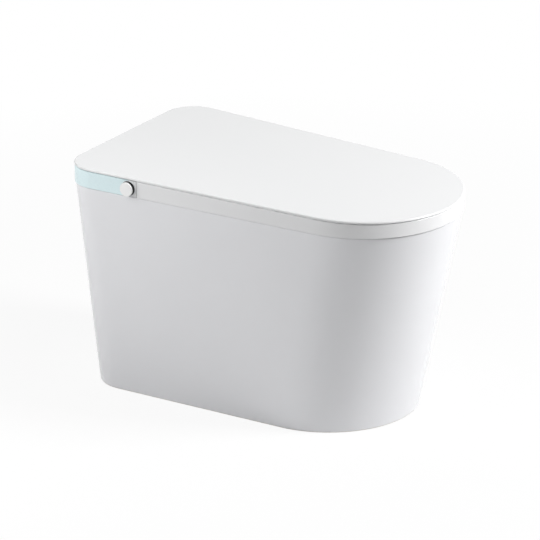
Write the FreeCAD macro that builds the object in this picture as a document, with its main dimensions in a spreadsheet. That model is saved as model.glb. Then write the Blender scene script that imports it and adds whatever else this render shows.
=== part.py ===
import FreeCAD, Part
import math
import os
import re

import Sketcher

# Bidet toilet. The user's right is -x, the front is -y, up is +z, and z = 0 is the floor.
# Driving dimensions, in millimetres and degrees.
SIZES = {
    # lid and the outline that seat, trims and ceramic follow
    "lid_length": 670,
    "lid_width": 387,
    "side_taper": 2.6,
    "corner_radius": 56,
    "lid_rear": 331,
    "lid_thickness": 4,
    "lid_edge_radius": 2.8,
    "lid_under_radius": 0.8,
    "lid_fall": 6,
    "lid_gap": 1.2,
    "band_inset": 1,
    # hinge line along the rear edge, shared by seat and lid
    "hinge_setback": 3,
    "hinge_drop": 14,
    "barrel_radius": 6.5,
    "pin_radius": 3,
    "pin_play": 0.05,
    "hinge_inset": 123.5,
    "fixed_knuckle": 12,
    "seat_knuckle": 17.5,
    "lid_knuckle": 17.5,
    "knuckle_gap": 0.5,
    "lid_lug_depth": 7,
    "arm_reach": 11,
    "foot_reach": 37,
    "foot_thickness": 3,
    "damper_length": 30,
    "pin_tail": 26,
    # seat
    "seat_height": 30.6,
    "seat_gap": 1.2,
    "seat_wall": 3,
    "seat_front_bar": 62,
    "seat_back_bar": 72,
    "seat_side_bar": 84.5,
    "seat_hole_round": 9,
    "seat_edge_round": 1.5,
    "apron_gap": 3,
    "apron_lift": 2,
    "cross_wall": 80,
    "seat_rear_clear": 16,
    "plate_thickness": 3,
    "plate_play": 0.15,
    "foil_thickness": 0.6,
    "foil_margin": 6,
    "bumper_radius": 8,
    "bumper_play": 0.1,
    "bumper_inset": 43.5,
    "bumper_back": 149,
    "bumper_ahead": 40,
    "pad_radius": 5,
    # ceramic body
    "rim_height": 373.5,
    "ceramic_inset": 3,
    "base_width": 340,
    "base_rear": 302.5,
    "base_length": 560,
    "base_taper": 1.3,
    "base_corner_radius": 66.5,
    "ceramic_wall": 11,
    "deck_thickness": 14,
    "rim_round": 1.2,
    "foot_round": 3,
    "bowl_wall": 10,
    "bowl_lip": 5,
    "rim_front": 45,
    "rim_side": 68.5,
    "bowl_rear": 26,
    "waist_drop": 120,
    "waist_front_step": 46,
    "waist_side_step": 20,
    "waist_rear_step": 14,
    "throat_drop": 215,
    "throat_length": 140,
    "throat_width": 116,
    "throat_ahead": 95,
    "sump_drop": 275,
    "sump_diameter": 76,
    "sump_ahead": 95,
    "trap_bore": 26,
    "trap_wall": 9,
    "trap_rise": 26,
    "trap_bend": 45,
    "outlet_back": 40,
    "collar_radius": 50,
    "collar_height": 40,
    "gasket_height": 20,
    "gasket_bore": 30,
    "web_half": 98,
    "web_depth": 112,
    "bay_gap": 3,
    # floor fixing
    "lug_inset": 30,
    "lug_depth": 24,
    "lug_height": 60,
    "fixing_back": 180,
    "bracket_width": 50,
    "bracket_reach": 50,
    "bracket_height": 50,
    "bracket_plate": 6,
    "floor_hole": 4.25,
    "floor_hole_in": 30,
    "fixing_screw": 3,
    "fixing_screw_length": 16,
    "screw_head": 5,
    "screw_head_height": 2.5,
    "screw_play": 0.1,
    # chassis and covers
    "flange_thickness": 2,
    "flange_inset": 6,
    "flange_lap": 8,
    "flange_side": 22,
    "tub_depth": 151.5,
    "tub_half": 95,
    "tub_front": 92,
    "tub_rear": 289,
    "tub_wall": 3,
    "deck_screw_out": 11,
    "deck_screw_front": 110,
    "deck_screw_rear": 280,
    "deck_screw": 2.5,
    "deck_screw_length": 11,
    "cover_lap": 6,
    "cover_height": 20.5,
    "cover_wall": 2.5,
    "cover_round": 4,
    "pod_front": 178,
    "pod_gap": 1,
    "pod_depth": 43.5,
    "pod_wall": 3,
    "trim_thickness": 3,
    "trim_play": 0.15,
    "trim_wrap": 57.5,
    # knob
    "knob_y": 193,
    "knob_rise": 15,
    "knob_radius": 12.9,
    "knob_proud": 9.5,
    "knob_tuck": 3,
    "knob_web": 4,
    "knob_wall": 2,
    "knob_play": 0.3,
    "knob_well": 6,
    "bezel_play": 0.15,
    "cap_thickness": 3,
    "cap_margin": 0.3,
    "cap_edge": 0.8,
    "bezel_radius": 13.8,
    "bezel_proud": 1.2,
    "bezel_depth": 4,
    "shaft_radius": 3,
    "shaft_play": 0.05,
    "encoder_depth": 14,
    "encoder_half": 9,
    "shaft_tail": 4,
    # spray nozzles, in a frame tilted along their slide
    "nozzle_y": 70,
    "nozzle_drop": 55.5,
    "nozzle_angle": 22,
    "nozzle_offset": 13,
    "wand_radius": 8,
    "wand_bore": 3,
    "wand_length": 150,
    "wand_play": 0.1,
    "tip_length": 14,
    "tip_round": 4,
    "spray_hole": 0.8,
    "tooth_module": 1,
    "pinion_teeth": 12,
    "tooth_play": 0.25,
    "tooth_root_share": 1.25,
    "tooth_tip_share": 0.5,
    "flank_angle": 20,
    "addendum": 0.75,
    "dedendum": 1.1,
    "rack_width": 6,
    "rack_base": 8.65,
    "rack_sink": 2.2,
    "rack_start": 45,
    "pinion_place": 50,
    "pinion_width": 5,
    "motor_shaft": 1.5,
    "motor_radius": 9,
    "motor_length": 14,
    "motor_grip": 5,
    "guide_half": 28,
    "guide_front": 28,
    "guide_rear": 140,
    "guide_height": 13,
    "cheek_width": 4,
    "cheek_half": 11,
    "cheek_top": 27,
    "shelf_thickness": 6,
    "tunnel_half": 30,
    "tunnel_front": 70,
    "tunnel_rear": 40,
    "tunnel_low": 16,
    "tunnel_high": 30,
    # dryer
    "dryer_x": 54,
    "dryer_y": 180,
    "dryer_drop": 83.5,
    "fan_radius": 36,
    "fan_height": 38,
    "fan_wall": 2.5,
    "fan_inlet": 18,
    "impeller_radius": 30,
    "impeller_bore": 21,
    "impeller_height": 24,
    "impeller_plate": 2,
    "impeller_gap": 3,
    "blade_count": 24,
    "blade_thickness": 1.2,
    "hub_radius": 6,
    "fan_shaft": 2,
    "fan_shaft_clear": 1,
    "fan_motor_radius": 17,
    "fan_motor_length": 42,
    "duct_half": 18,
    "duct_drop": 77.5,
    "duct_height": 28,
    "duct_wall": 2,
    "duct_front": 20,
    "duct_play": 0.2,
    "heater_front": 100,
    "heater_depth": 20,
    "heater_fins": 5,
    "heater_fin": 1.5,
    "heater_rim": 3,
    "flap_thickness": 1.6,
    "flap_pin": 1.2,
    "flap_play": 0.4,
    # water supply
    "inlet_x": 70,
    "inlet_drop": 123.5,
    "inlet_radius": 10.48,
    "inlet_bore": 7.5,
    "inlet_end": 329,
    "inlet_collar": 16,
    "inlet_shank": 13,
    "inlet_collar_depth": 3,
    "inlet_hole": 22,
    "valve_half": 18,
    "valve_front": 215,
    "valve_rear": 262,
    "valve_height": 45,
    "solenoid_radius": 11,
    "solenoid_height": 26,
    "solenoid_y": 235,
    "tank_left": 40,
    "tank_right": 90,
    "tank_front": 180,
    "tank_rear": 284,
    "tank_height": 93,
    "tank_wall": 2.5,
    "tank_cap_height": 4,
    "element_radius": 4,
    "element_half": 25,
    "element_clear": 12,
    "pump_x": 20,
    "pump_radius": 18,
    "pump_front": 158,
    "pump_rear": 208,
    "pump_foot": 14,
    "diverter_half": 12,
    "diverter_front": 215,
    "diverter_rear": 250,
    "diverter_height": 37,
    "hose_radius": 5,
    "hose_bend": 14,
    "hose_level": 20,
    "hose_lane": 148,
    "hose_side": 12,
    "hot_hose_rise": 24,
    "hot_hose_y": 185,
    "flush_x": 66,
    "flush_valve_half": 24,
    "flush_front": 102,
    "flush_rear": 140,
    "flush_height": 50,
    "spout_radius": 11,
    "spout_bore": 8,
    "spout_drop": 63.5,
    "spout_end": 5,
    "spout_bend": 22,
    "spout_play": 0.2,
    # electrics
    "board_left": 36,
    "board_right": 70,
    "board_drop": 73.5,
    "board_height": 62,
    "board_thickness": 2,
    "board_gap": 5,
    "board_post": 3,
    "board_post_in": 8,
    "power_left": -2,
    "power_right": 40,
    "power_front": 222,
    "power_rear": 283,
    "power_height": 66,
    "gland_x": 70,
    "gland_drop": 27.5,
    "gland_radius": 9,
    "gland_flange": 13,
    "gland_bore": 4,
    "gland_end": 328,
    "gland_lip": 3,
    # how far a cutting shape runs past what it cuts
    "overcut": 2,
}

document = FreeCAD.newDocument("bidet_toilet")
sheet = document.addObject("Spreadsheet::Sheet", "Sizes")
for row, (alias, size) in enumerate(SIZES.items(), start=1):
    sheet.set(f"A{row}", alias)
    sheet.set(f"B{row}", str(size))
    sheet.setAlias(f"B{row}", alias)
document.recompute()

VECTOR = FreeCAD.Vector
NODES = []
# how close a point lies to a level to count as on it
NEAR = 0.01


def bound(text):
    """The expression with every size's name written as a reference to its cell."""
    def cell(word):
        return f"Sizes.{word[0]}" if word[0] in SIZES else word[0]
    return re.sub(r"[a-z][a-z_0-9]*", cell, text)


def number(text):
    """What an expression of sizes comes to."""
    result = sheet.evalExpression(bound(text))
    return float(getattr(result, "Value", result))


def bind(thing, path, text):
    thing.setExpression(path, bound(text))


def place(thing, x="0", y="0", z="0"):
    for axis, text in zip("xyz", (x, y, z)):
        bind(thing, f"Placement.Base.{axis}", text)
    return thing


def block(name, x, y, z):
    """A box between a low and a high expression along each axis."""
    solid = document.addObject("Part::Box", name)
    for side, (low, high) in zip(("Length", "Width", "Height"), (x, y, z)):
        bind(solid, side, f"({high}) - ({low})")
    return place(solid, x[0], y[0], z[0])


TURN = {
    "x": FreeCAD.Rotation(VECTOR(0, 1, 0), 90),
    "y": FreeCAD.Rotation(VECTOR(1, 0, 0), -90),
    "z": FreeCAD.Rotation(),
}


def along_axis(solid, axis, low, at):
    """Lays a solid made along z on another axis: low is its start, at its place on the other two axes."""
    solid.Placement = FreeCAD.Placement(VECTOR(), TURN[axis])
    start = {"x": (low, *at), "y": (at[0], low, at[1]), "z": (*at, low)}
    return place(solid, *start[axis])


def rod(name, axis, radius, along, at):
    """A cylinder along one axis, between two expressions."""
    solid = document.addObject("Part::Cylinder", name)
    bind(solid, "Radius", radius)
    bind(solid, "Height", f"({along[1]}) - ({along[0]})")
    return along_axis(solid, axis, along[0], at)


def cone(name, axis, radii, along, at):
    solid = document.addObject("Part::Cone", name)
    bind(solid, "Radius1", radii[0])
    bind(solid, "Radius2", radii[1])
    bind(solid, "Height", f"({along[1]}) - ({along[0]})")
    return along_axis(solid, axis, along[0], at)


def fuse(name, *solids):
    joined = document.addObject("Part::MultiFuse", name)
    joined.Shapes = list(solids)
    return joined


def common(name, *solids):
    shared = document.addObject("Part::MultiCommon", name)
    shared.Shapes = list(solids)
    return shared


def cut(name, base, *tools):
    result = document.addObject("Part::Cut", name)
    result.Base = base
    result.Tool = tools[0] if len(tools) == 1 else fuse(f"{name}_cutters", *tools)
    return result


def group(name, *solids):
    together = document.addObject("Part::Compound", name)
    together.Links = list(solids)
    return together


def mirrored(name, source):
    """The same piece on the other side of the plane x = 0."""
    image = document.addObject("Part::Mirroring", name)
    image.Source = source
    image.Normal = VECTOR(1, 0, 0)
    return image


def pair(name, source):
    return group(name, source, mirrored(f"{name}_other_side", source))


def tube(name, axis, outer, inner, along, at):
    return cut(name, rod(f"{name}_outside", axis, outer, along, at),
               rod(f"{name}_bore", axis, inner, along, at))


def turned_about_x(thing, angle, x, y, z):
    """Puts a piece drawn in a tilted frame in its place: the frame's origin, and its turn about x."""
    thing.Placement = FreeCAD.Placement(VECTOR(), FreeCAD.Rotation(VECTOR(1, 0, 0), 1))
    bind(thing, "Placement.Rotation.Angle", angle)
    return place(thing, x, y, z)


def node(name, thing):
    thing.Label = name
    NODES.append(thing)
    return thing


def new_sketch(name, body=None, level="0"):
    if body is None:
        sketch = document.addObject("Sketcher::SketchObject", name)
        bind(sketch, "Placement.Base.z", level)
        return sketch
    sketch = body.newObject("Sketcher::SketchObject", name)
    flat = [plane for plane in body.Origin.OriginFeatures if plane.Role == "XY_Plane"]
    sketch.AttachmentSupport = (flat[0], [""])
    sketch.MapMode = "FlatFace"
    bind(sketch, "AttachmentOffset.Base.z", level)
    return sketch


def dimension(sketch, kind, *terms):
    """Adds a driving dimension whose last term is its expression."""
    *elements, text = terms
    size = number(text)
    if kind == "Angle":
        size = math.radians(size)
    index = sketch.addConstraint(Sketcher.Constraint(kind, *elements, size))
    sketch.setExpression(f"Constraints[{index}]", bound(text))


LID_PLAN = dict(width="lid_width", rear="lid_rear", length="lid_length", taper="side_taper",
                radius="corner_radius")
HINGE_PLAN = {**LID_PLAN, "rear": "-hinge_setback"}
BASE_PLAN = dict(width="base_width", rear="base_rear", length="base_length", taper="base_taper",
                 radius="base_corner_radius")
START, END, CENTRE = range(1, 4)
CROSS_LINE, MIDDLE_LINE = range(-1, -3, -1)
ORIGIN_POINT = (CROSS_LINE, START)


def d_outline(name, plan, inset="0", level="0", body=None):
    """A straight rear edge, two round corners, two tapered sides and one round nose, all set in evenly."""
    corner_x = f"({plan['width']}) / 2 - {plan['radius']}"
    corner_y = f"({plan['rear']}) - {plan['radius']}"
    front = f"({plan['rear']}) - ({plan['length']})"
    tilt = plan["taper"]
    nose_y = (f"(({corner_x}) * cos({tilt}) - ({corner_y}) * sin({tilt}) + {plan['radius']} + {front})"
              f" / (1 - sin({tilt}))")
    set_in = number(inset)
    angle = math.radians(number(tilt))
    reach = number(plan["radius"]) - set_in
    nose = VECTOR(0, number(nose_y), 0)
    nose_reach = nose.y - number(front) - set_in
    right = VECTOR(number(corner_x), number(corner_y), 0)
    left = VECTOR(-right.x, right.y, 0)
    outward = VECTOR(math.cos(angle), -math.sin(angle), 0)
    outward_left = VECTOR(-outward.x, outward.y, 0)
    rise = VECTOR(0, reach, 0)
    up = VECTOR(0, 0, 1)
    half_turn = math.pi / 2

    sketch = new_sketch(name, body, level)
    rear_edge = sketch.addGeometry(Part.LineSegment(left + rise, right + rise))
    right_corner = sketch.addGeometry(Part.ArcOfCircle(Part.Circle(right, up, reach), -angle, half_turn))
    right_side = sketch.addGeometry(Part.LineSegment(nose + outward * nose_reach, right + outward * reach))
    nose_arc = sketch.addGeometry(Part.ArcOfCircle(Part.Circle(nose, up, nose_reach),
                                                   math.pi + angle, 2 * math.pi - angle))
    left_side = sketch.addGeometry(Part.LineSegment(nose + outward_left * nose_reach,
                                                    left + outward_left * reach))
    left_corner = sketch.addGeometry(Part.ArcOfCircle(Part.Circle(left, up, reach),
                                                      half_turn, math.pi + angle))
    for joint in ((rear_edge, END, right_corner, END), (right_corner, START, right_side, END),
                  (right_side, START, nose_arc, END), (nose_arc, START, left_side, START),
                  (left_side, END, left_corner, END), (left_corner, START, rear_edge, START)):
        sketch.addConstraint(Sketcher.Constraint("Tangent", *joint))
    for edge in (rear_edge, nose_arc):
        sketch.addConstraint(Sketcher.Constraint("Symmetric", edge, START, edge, END, MIDDLE_LINE))
    dimension(sketch, "DistanceY", *ORIGIN_POINT, rear_edge, START, f"({plan['rear']}) - ({inset})")
    dimension(sketch, "DistanceY", *ORIGIN_POINT, nose_arc, CENTRE, nose_y)
    dimension(sketch, "DistanceX", *ORIGIN_POINT, right_corner, CENTRE, corner_x)
    dimension(sketch, "Radius", right_corner, f"{plan['radius']} - ({inset})")
    dimension(sketch, "Angle", right_side, f"90 - {tilt}")
    return sketch


def oval_outline(name, front, rear, half_width, level="0"):
    """An ellipse on the middle line, from its foremost to its rearmost point."""
    half_length = f"(({rear}) - ({front})) / 2"
    oval = document.addObject("Part::Ellipse", name)
    bind(oval, "MajorRadius", f"max({half_length}; {half_width})")
    bind(oval, "MinorRadius", f"min({half_length}; {half_width})")
    oval.Placement = FreeCAD.Placement(VECTOR(), FreeCAD.Rotation(VECTOR(0, 0, 1), 1))
    bind(oval, "Placement.Rotation.Angle", f"{half_length} > ({half_width}) ? 90 : 0")
    return place(oval, "0", f"(({front}) + ({rear})) / 2", level)


def extrude(name, sketch, height):
    solid = document.addObject("Part::Extrusion", name)
    solid.Base = sketch
    solid.DirMode = "Custom"
    solid.Dir = VECTOR(0, 0, 1)
    solid.Solid = True
    bind(solid, "LengthFwd", height)
    return solid


def d_solid(name, plan, inset, low, high):
    """A straight-sided solid on the D outline between two levels."""
    return extrude(name, d_outline(f"{name}_outline", plan, inset, low), f"({high}) - ({low})")


def loft(name, sections, ruled):
    skin = document.addObject("Part::Loft", name)
    skin.Sections = list(sections)
    skin.Solid = True
    skin.Ruled = ruled
    return skin


def rounded(name, solid, chosen):
    """The solid with some of its edges rounded: chosen gives an edge's radius, or nothing."""
    document.recompute()
    radii = ((index, chosen(edge)) for index, edge in enumerate(solid.Shape.Edges, start=1))
    softened = document.addObject("Part::Fillet", name)
    softened.Base = solid
    softened.Edges = [(index, radius, radius) for index, radius in radii if radius]
    return softened


def on_level(edge, level):
    """Whether an edge lies in a level plane."""
    return max(abs(vertex.Z - number(level)) for vertex in edge.Vertexes) < NEAR


def bent_path(name, points, bend):
    """Straight runs joined by tangent arcs of one radius."""
    spots = [VECTOR(*(number(text) for text in point)) for point in points]
    radius = number(bend)
    edges = []
    last = spots[0]
    for before, corner, after in zip(spots, spots[1:], spots[2:]):
        inward = (before - corner).normalize()
        onward = (after - corner).normalize()
        half = inward.getAngle(onward) / 2
        reach = radius / math.tan(half)
        middle = corner + (inward + onward).normalize() * (radius / math.sin(half) - radius)
        edges.append(Part.makeLine(last, corner + inward * reach))
        last = corner + onward * reach
        edges.append(Part.Arc(corner + inward * reach, middle, last).toShape())
    edges.append(Part.makeLine(last, spots[-1]))
    path = document.addObject("Part::Feature", name)
    path.Shape = Part.Wire(edges)
    return path


def pipe(name, points, radius, bend):
    """A round pipe swept along straight runs and arcs."""
    path = bent_path(f"{name}_path", points, bend)
    first, second = (VECTOR(*(number(text) for text in point)) for point in points[:2])
    ring = document.addObject("Part::Circle", f"{name}_ring")
    bind(ring, "Radius", radius)
    ring.Placement = FreeCAD.Placement(first, FreeCAD.Rotation(VECTOR(0, 0, 1), second - first))
    swept = document.addObject("Part::Sweep", name)
    swept.Sections = [ring]
    swept.Spine = (path, [f"Edge{i}" for i in range(1, len(path.Shape.Edges) + 1)])
    swept.Solid = True
    return swept


# Levels and places shared by several pieces
SEAT_LOW = "(rim_height + seat_gap)"
SEAT_TOP = f"({SEAT_LOW} + seat_height)"
HINGE_Y = "(lid_rear + hinge_setback)"
HINGE_Z = f"({SEAT_TOP} + lid_gap - hinge_drop)"
FLANGE_TOP = "(rim_height + flange_thickness)"
TUB_FLOOR = "(rim_height - tub_depth + tub_wall)"
TILT = "asin(lid_fall / lid_length)"
SKIN_TOP = "(hinge_drop - lid_gap)"
SKIN_LOW = "(-hinge_drop - seat_height)"
FAR = "lid_width"
LID_FRONT = "(lid_rear - lid_length)"
POD_INNER = "(lid_width / 2 - pod_depth)"
APRON_HALF = f"({POD_INNER} - apron_gap)"
TRIM_END = "(lid_width / 2 - trim_wrap)"
HINGE_INNER = "(lid_width / 2 - hinge_inset)"
BAY_HALF = "(tub_half + bay_gap)"
BAY_FRONT = "(tub_front - bay_gap)"
BAY_REAR = "(tub_rear + bay_gap)"
FLANGE_HALF = "(tub_half + flange_side)"
DECK_SCREW_X = "(tub_half + deck_screw_out)"
LUG_FACE = "(base_width / 2 - lug_inset)"
NOZZLE_Z = "(rim_height - nozzle_drop)"
DRYER_LOW = "(rim_height - dryer_drop)"
DUCT_LOW = "(rim_height - duct_drop)"
INLET_Z = "(rim_height - inlet_drop)"
SPOUT_Z = "(rim_height - spout_drop)"
GLAND_Z = "(rim_height - gland_drop)"
BOARD_LOW = "(rim_height - board_drop)"
BOWL_FRONT = f"({LID_FRONT} + rim_front)"
BOWL_MIDDLE = f"(({BOWL_FRONT} + bowl_rear) / 2)"


def in_hinge_frame(name, thing):
    """Seat and lid are drawn from the hinge axis, and fall a little towards the front."""
    return turned_about_x(group(name, thing), TILT, "0", HINGE_Y, HINGE_Z)


def in_spray_frame(name, thing):
    """The nozzles are drawn along their slide, from the tip of the drawn-in wands backwards."""
    return turned_about_x(group(name, thing), "nozzle_angle", "0", "nozzle_y", NOZZLE_Z)


def knuckle(lengths_before, gaps_before, length):
    """Where a knuckle lies along the hinge axis, on the side of +x."""
    start = " + ".join((HINGE_INNER, *lengths_before, f"{gaps_before} * knuckle_gap"))
    return start, f"{start} + {length}"


INNER_KNUCKLE = knuckle((), 0, "fixed_knuckle")
SEAT_KNUCKLE = knuckle(("fixed_knuckle",), 1, "seat_knuckle")
LID_KNUCKLE = knuckle(("fixed_knuckle", "seat_knuckle"), 2, "lid_knuckle")
OUTER_KNUCKLE = knuckle(("fixed_knuckle", "seat_knuckle", "lid_knuckle"), 3, "fixed_knuckle")
AXIS_IN_FRAME = ("0", "0")


# Ceramic: skirt, deck, bowl and trap, cast apart and stuck together before firing
RIM_OVAL = (BOWL_FRONT, "bowl_rear", "lid_width / 2 - rim_side")


def bowl_oval(name, wall, level, front, rear, half_width):
    return oval_outline(name, f"{front} - ({wall})", f"{rear} + ({wall})", f"{half_width} + ({wall})",
                        level)


def bowl_form(name, wall, top):
    """The bowl as a stack of ovals, from the rim down to the sump."""
    levels = (
        (top, *RIM_OVAL),
        ("rim_height - waist_drop", f"{BOWL_FRONT} + waist_front_step", "bowl_rear - waist_rear_step",
         "lid_width / 2 - rim_side - waist_side_step"),
        ("rim_height - throat_drop", "-throat_ahead - throat_length / 2",
         "-throat_ahead + throat_length / 2", "throat_width / 2"),
        (f"rim_height - sump_drop - ({wall})", "-sump_ahead - sump_diameter / 2",
         "-sump_ahead + sump_diameter / 2", "sump_diameter / 2"),
    )
    ovals = [bowl_oval(f"{name}_oval_{step}", wall, *section) for step, section in enumerate(levels)]
    return loft(name, ovals, ruled=False)


SUMP_Z = "rim_height - sump_drop + trap_rise"
TRAP_POINTS = (
    ("0", "-sump_ahead", SUMP_Z),
    ("0", "outlet_back", f"{SUMP_Z} + sump_ahead + outlet_back"),
    ("0", "outlet_back", "gasket_height"),
)


def skirt_edge(edge):
    if on_level(edge, "rim_height"):
        return number("rim_round")
    return number("foot_round") if on_level(edge, "0") else 0


SKIRT_OUTLINES = (d_outline("skirt_base", BASE_PLAN),
                  d_outline("skirt_top", LID_PLAN, "ceramic_inset", "rim_height"))
skirt = rounded("skirt", loft("skirt_form", SKIRT_OUTLINES, ruled=True), skirt_edge)
INSIDE_OUTLINES = (d_outline("inside_base", BASE_PLAN, "ceramic_wall"),
                   d_outline("inside_top", LID_PLAN, "ceramic_inset + ceramic_wall", "rim_height"))
inside = loft("skirt_inside", INSIDE_OUTLINES, ruled=True)
DECK_LEVELS = ("rim_height - deck_thickness", "rim_height")
deck_zone = block("deck_zone", (f"-{FAR}", FAR), ("-lid_length", "lid_length"), DECK_LEVELS)
spray_tunnel = in_spray_frame("spray_tunnel", block("spray_tunnel_space", ("-tunnel_half", "tunnel_half"),
                                                    ("-tunnel_front", "tunnel_rear"),
                                                    ("-tunnel_low", "tunnel_high")))
dryer_tunnel = block("dryer_tunnel",
                     ("dryer_x - duct_half - duct_play", "dryer_x + duct_half + duct_play"),
                     (BOWL_MIDDLE, "tub_front + tub_wall + overcut"),
                     (f"{DUCT_LOW} - duct_play", f"{DUCT_LOW} + duct_height + duct_play"))
spout_tunnel = rod("spout_tunnel", "y", "spout_radius + spout_play", (BOWL_MIDDLE, "flush_front"),
                   ("-flush_x", SPOUT_Z))
FIXING_SPAN = ("fixing_back - bracket_width / 2", "fixing_back + bracket_width / 2")
fixing_lug = block("fixing_lug", (LUG_FACE, f"{LUG_FACE} + lug_depth"), FIXING_SPAN, ("0", "lug_height"))
fixing_bore = rod("fixing_bore", "x", "fixing_screw + screw_play",
                  (f"{LUG_FACE} - overcut", f"{LUG_FACE} + fixing_screw_length"),
                  ("fixing_back", "bracket_height / 2"))
deck_bores = []
for y_place in ("deck_screw_front", "deck_screw_rear"):
    deck_bores.append(rod(f"{y_place}_bore", "z", "deck_screw + screw_play",
                          (f"{FLANGE_TOP} - deck_screw_length - overcut", f"{FLANGE_TOP} + overcut"),
                          (DECK_SCREW_X, y_place)))
HINGE_SCREWS = [f"({low} + {high}) / 2" for low, high in (INNER_KNUCKLE, OUTER_KNUCKLE)]
HINGE_SCREW_Y = f"{HINGE_Y} - foot_reach + screw_head + overcut"
for index, x_place in enumerate(HINGE_SCREWS):
    deck_bores.append(rod(f"hinge_bore_{index}", "z", "deck_screw + screw_play",
                          (f"{FLANGE_TOP} - deck_screw_length - overcut",
                           f"{FLANGE_TOP} + foot_thickness + overcut"), (x_place, HINGE_SCREW_Y)))
screw_bores = pair("screw_bores", group("screw_bores_left", *deck_bores))
LIP_OVALS = (bowl_oval("lip_low", "-bowl_lip", "rim_height - bowl_lip * 2", *RIM_OVAL),
             bowl_oval("lip_high", "2 * bowl_lip", "rim_height + bowl_lip", *RIM_OVAL))
bowl_lip = loft("bowl_lip", LIP_OVALS, ruled=True)
bowl_outside = bowl_form("bowl_outside", "bowl_wall", "rim_height - overcut")
bowl_inside = bowl_form("bowl_inside", "0", "rim_height + overcut")
trap_inside = pipe("trap_inside", TRAP_POINTS, "trap_bore", "trap_bend")
node("ceramic_skirt", cut(
    "skirt_piece",
    fuse("skirt_mass", cut("skirt_shell", skirt, inside),
         common("lugs_inside", skirt, pair("fixing_lugs", fixing_lug))),
    rod("inlet_hole", "y", "inlet_hole", (BAY_REAR, "lid_rear"), ("inlet_x", INLET_Z)),
    rod("gland_hole", "y", "gland_radius + screw_play", (BAY_REAR, "lid_rear"), ("-gland_x", GLAND_Z)),
    pair("fixing_bores", fixing_bore)))
node("ceramic_deck", cut(
    "deck_piece", common("deck_mass", inside, deck_zone), bowl_inside, bowl_lip,
    block("bay", (f"-{BAY_HALF}", BAY_HALF), (BAY_FRONT, BAY_REAR),
          ("rim_height - deck_thickness - overcut", "rim_height + overcut")),
    spray_tunnel, screw_bores))
web = block("web", ("-web_half", "web_half"), (f"{BOWL_MIDDLE} / 2", BAY_FRONT),
            ("rim_height - web_depth", "rim_height"))
node("ceramic_bowl", cut(
    "bowl_piece", common("bowl_mass", cut("space_below_deck", inside, deck_zone),
                         fuse("bowl_and_web", bowl_outside, web)),
    bowl_inside, trap_inside, spray_tunnel, dryer_tunnel, spout_tunnel))
collar = rod("outlet_collar", "z", "collar_radius", ("gasket_height", "gasket_height + collar_height"),
             ("0", "outlet_back"))
trap_mass = fuse("trap_mass", collar,
                 pipe("trap_outside", TRAP_POINTS, "trap_bore + trap_wall", "trap_bend"))
node("ceramic_trap", cut("trap_piece", trap_mass, bowl_outside, web, trap_inside))

# Rubber ring between the outlet and the floor flange
node("outlet_gasket", tube("gasket", "z", "collar_radius", "gasket_bore", ("0", "gasket_height"),
                           ("0", "outlet_back")))

# Angle brackets that hold the skirt to the floor, out of sight
bracket = cut(
    "bracket", fuse("bracket_angle",
                    block("bracket_base", (f"{LUG_FACE} - bracket_reach", LUG_FACE), FIXING_SPAN,
                          ("0", "bracket_plate")),
                    block("bracket_upright", (f"{LUG_FACE} - bracket_plate", LUG_FACE), FIXING_SPAN,
                          ("0", "bracket_height"))),
    rod("bracket_floor_hole", "z", "floor_hole", ("-overcut", "bracket_plate + overcut"),
        (f"{LUG_FACE} - floor_hole_in", "fixing_back")),
    rod("bracket_side_hole", "x", "fixing_screw + screw_play",
        (f"{LUG_FACE} - bracket_plate - overcut", f"{LUG_FACE} + overcut"),
        ("fixing_back", "bracket_height / 2")))
node("floor_brackets", pair("brackets", bracket))
BRACKET_FACE = f"({LUG_FACE} - bracket_plate)"
bracket_screw = fuse(
    "bracket_screw",
    rod("bracket_screw_head", "x", "screw_head", (f"{BRACKET_FACE} - screw_head_height", BRACKET_FACE),
        ("fixing_back", "bracket_height / 2")),
    rod("bracket_screw_shank", "x", "fixing_screw",
        (f"{BRACKET_FACE} - screw_head_height / 2", f"{LUG_FACE} + fixing_screw_length - overcut"),
        ("fixing_back", "bracket_height / 2")))


# Chassis: a moulded base plate on the deck, with a tub that hangs from it in the bay for the wash unit,
# closed at the rear by a panel that carries the connections and the control board
def tub_span(wall):
    return ((f"-(tub_half - {wall})", f"tub_half - {wall}"), (f"tub_front + {wall}", f"tub_rear - {wall}"))


flange_sheet = d_solid("flange_sheet", LID_PLAN, "flange_inset", "rim_height", FLANGE_TOP)
flange = common("flange", flange_sheet, fuse(
    "flange_zone",
    block("flange_wide", (f"-{FAR}", FAR), ("pod_front", "lid_rear"), ("rim_height", FLANGE_TOP)),
    block("flange_narrow", (f"-{FLANGE_HALF}", FLANGE_HALF), ("tub_front - flange_lap", "lid_rear"),
          ("rim_height", FLANGE_TOP))))
TUB_LEVELS = ("rim_height - tub_depth", FLANGE_TOP)
TUB_WIDTH = ("-tub_half", "tub_half")
tub_zone = block("tub_zone", *tub_span("0"), TUB_LEVELS)
tub_space = block("tub_space", ("-tub_half + tub_wall", "tub_half - tub_wall"),
                  ("tub_front + tub_wall", "tub_rear"), (TUB_FLOOR, f"{FLANGE_TOP} + overcut"))
BOARD_Y = ("tub_rear - tub_wall - board_gap - board_thickness", "tub_rear - tub_wall - board_gap")
posts = []
for side_x in ("-board_left + board_post_in", "board_right - board_post_in"):
    for post_z in (f"{BOARD_LOW} + board_post_in", f"{BOARD_LOW} + board_height - board_post_in"):
        posts.append(rod("board_post", "y", "board_post", (BOARD_Y[1], "tub_rear - tub_wall + overcut / 2"),
                         (side_x, post_z)))
tub_shell = cut(
    "tub_shell", block("tub", TUB_WIDTH, ("tub_front", "tub_rear - tub_wall"), TUB_LEVELS), tub_space,
    spray_tunnel, dryer_tunnel, spout_tunnel)
PANEL_BORE = ("tub_rear - tub_wall - overcut", "lid_rear")
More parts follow.
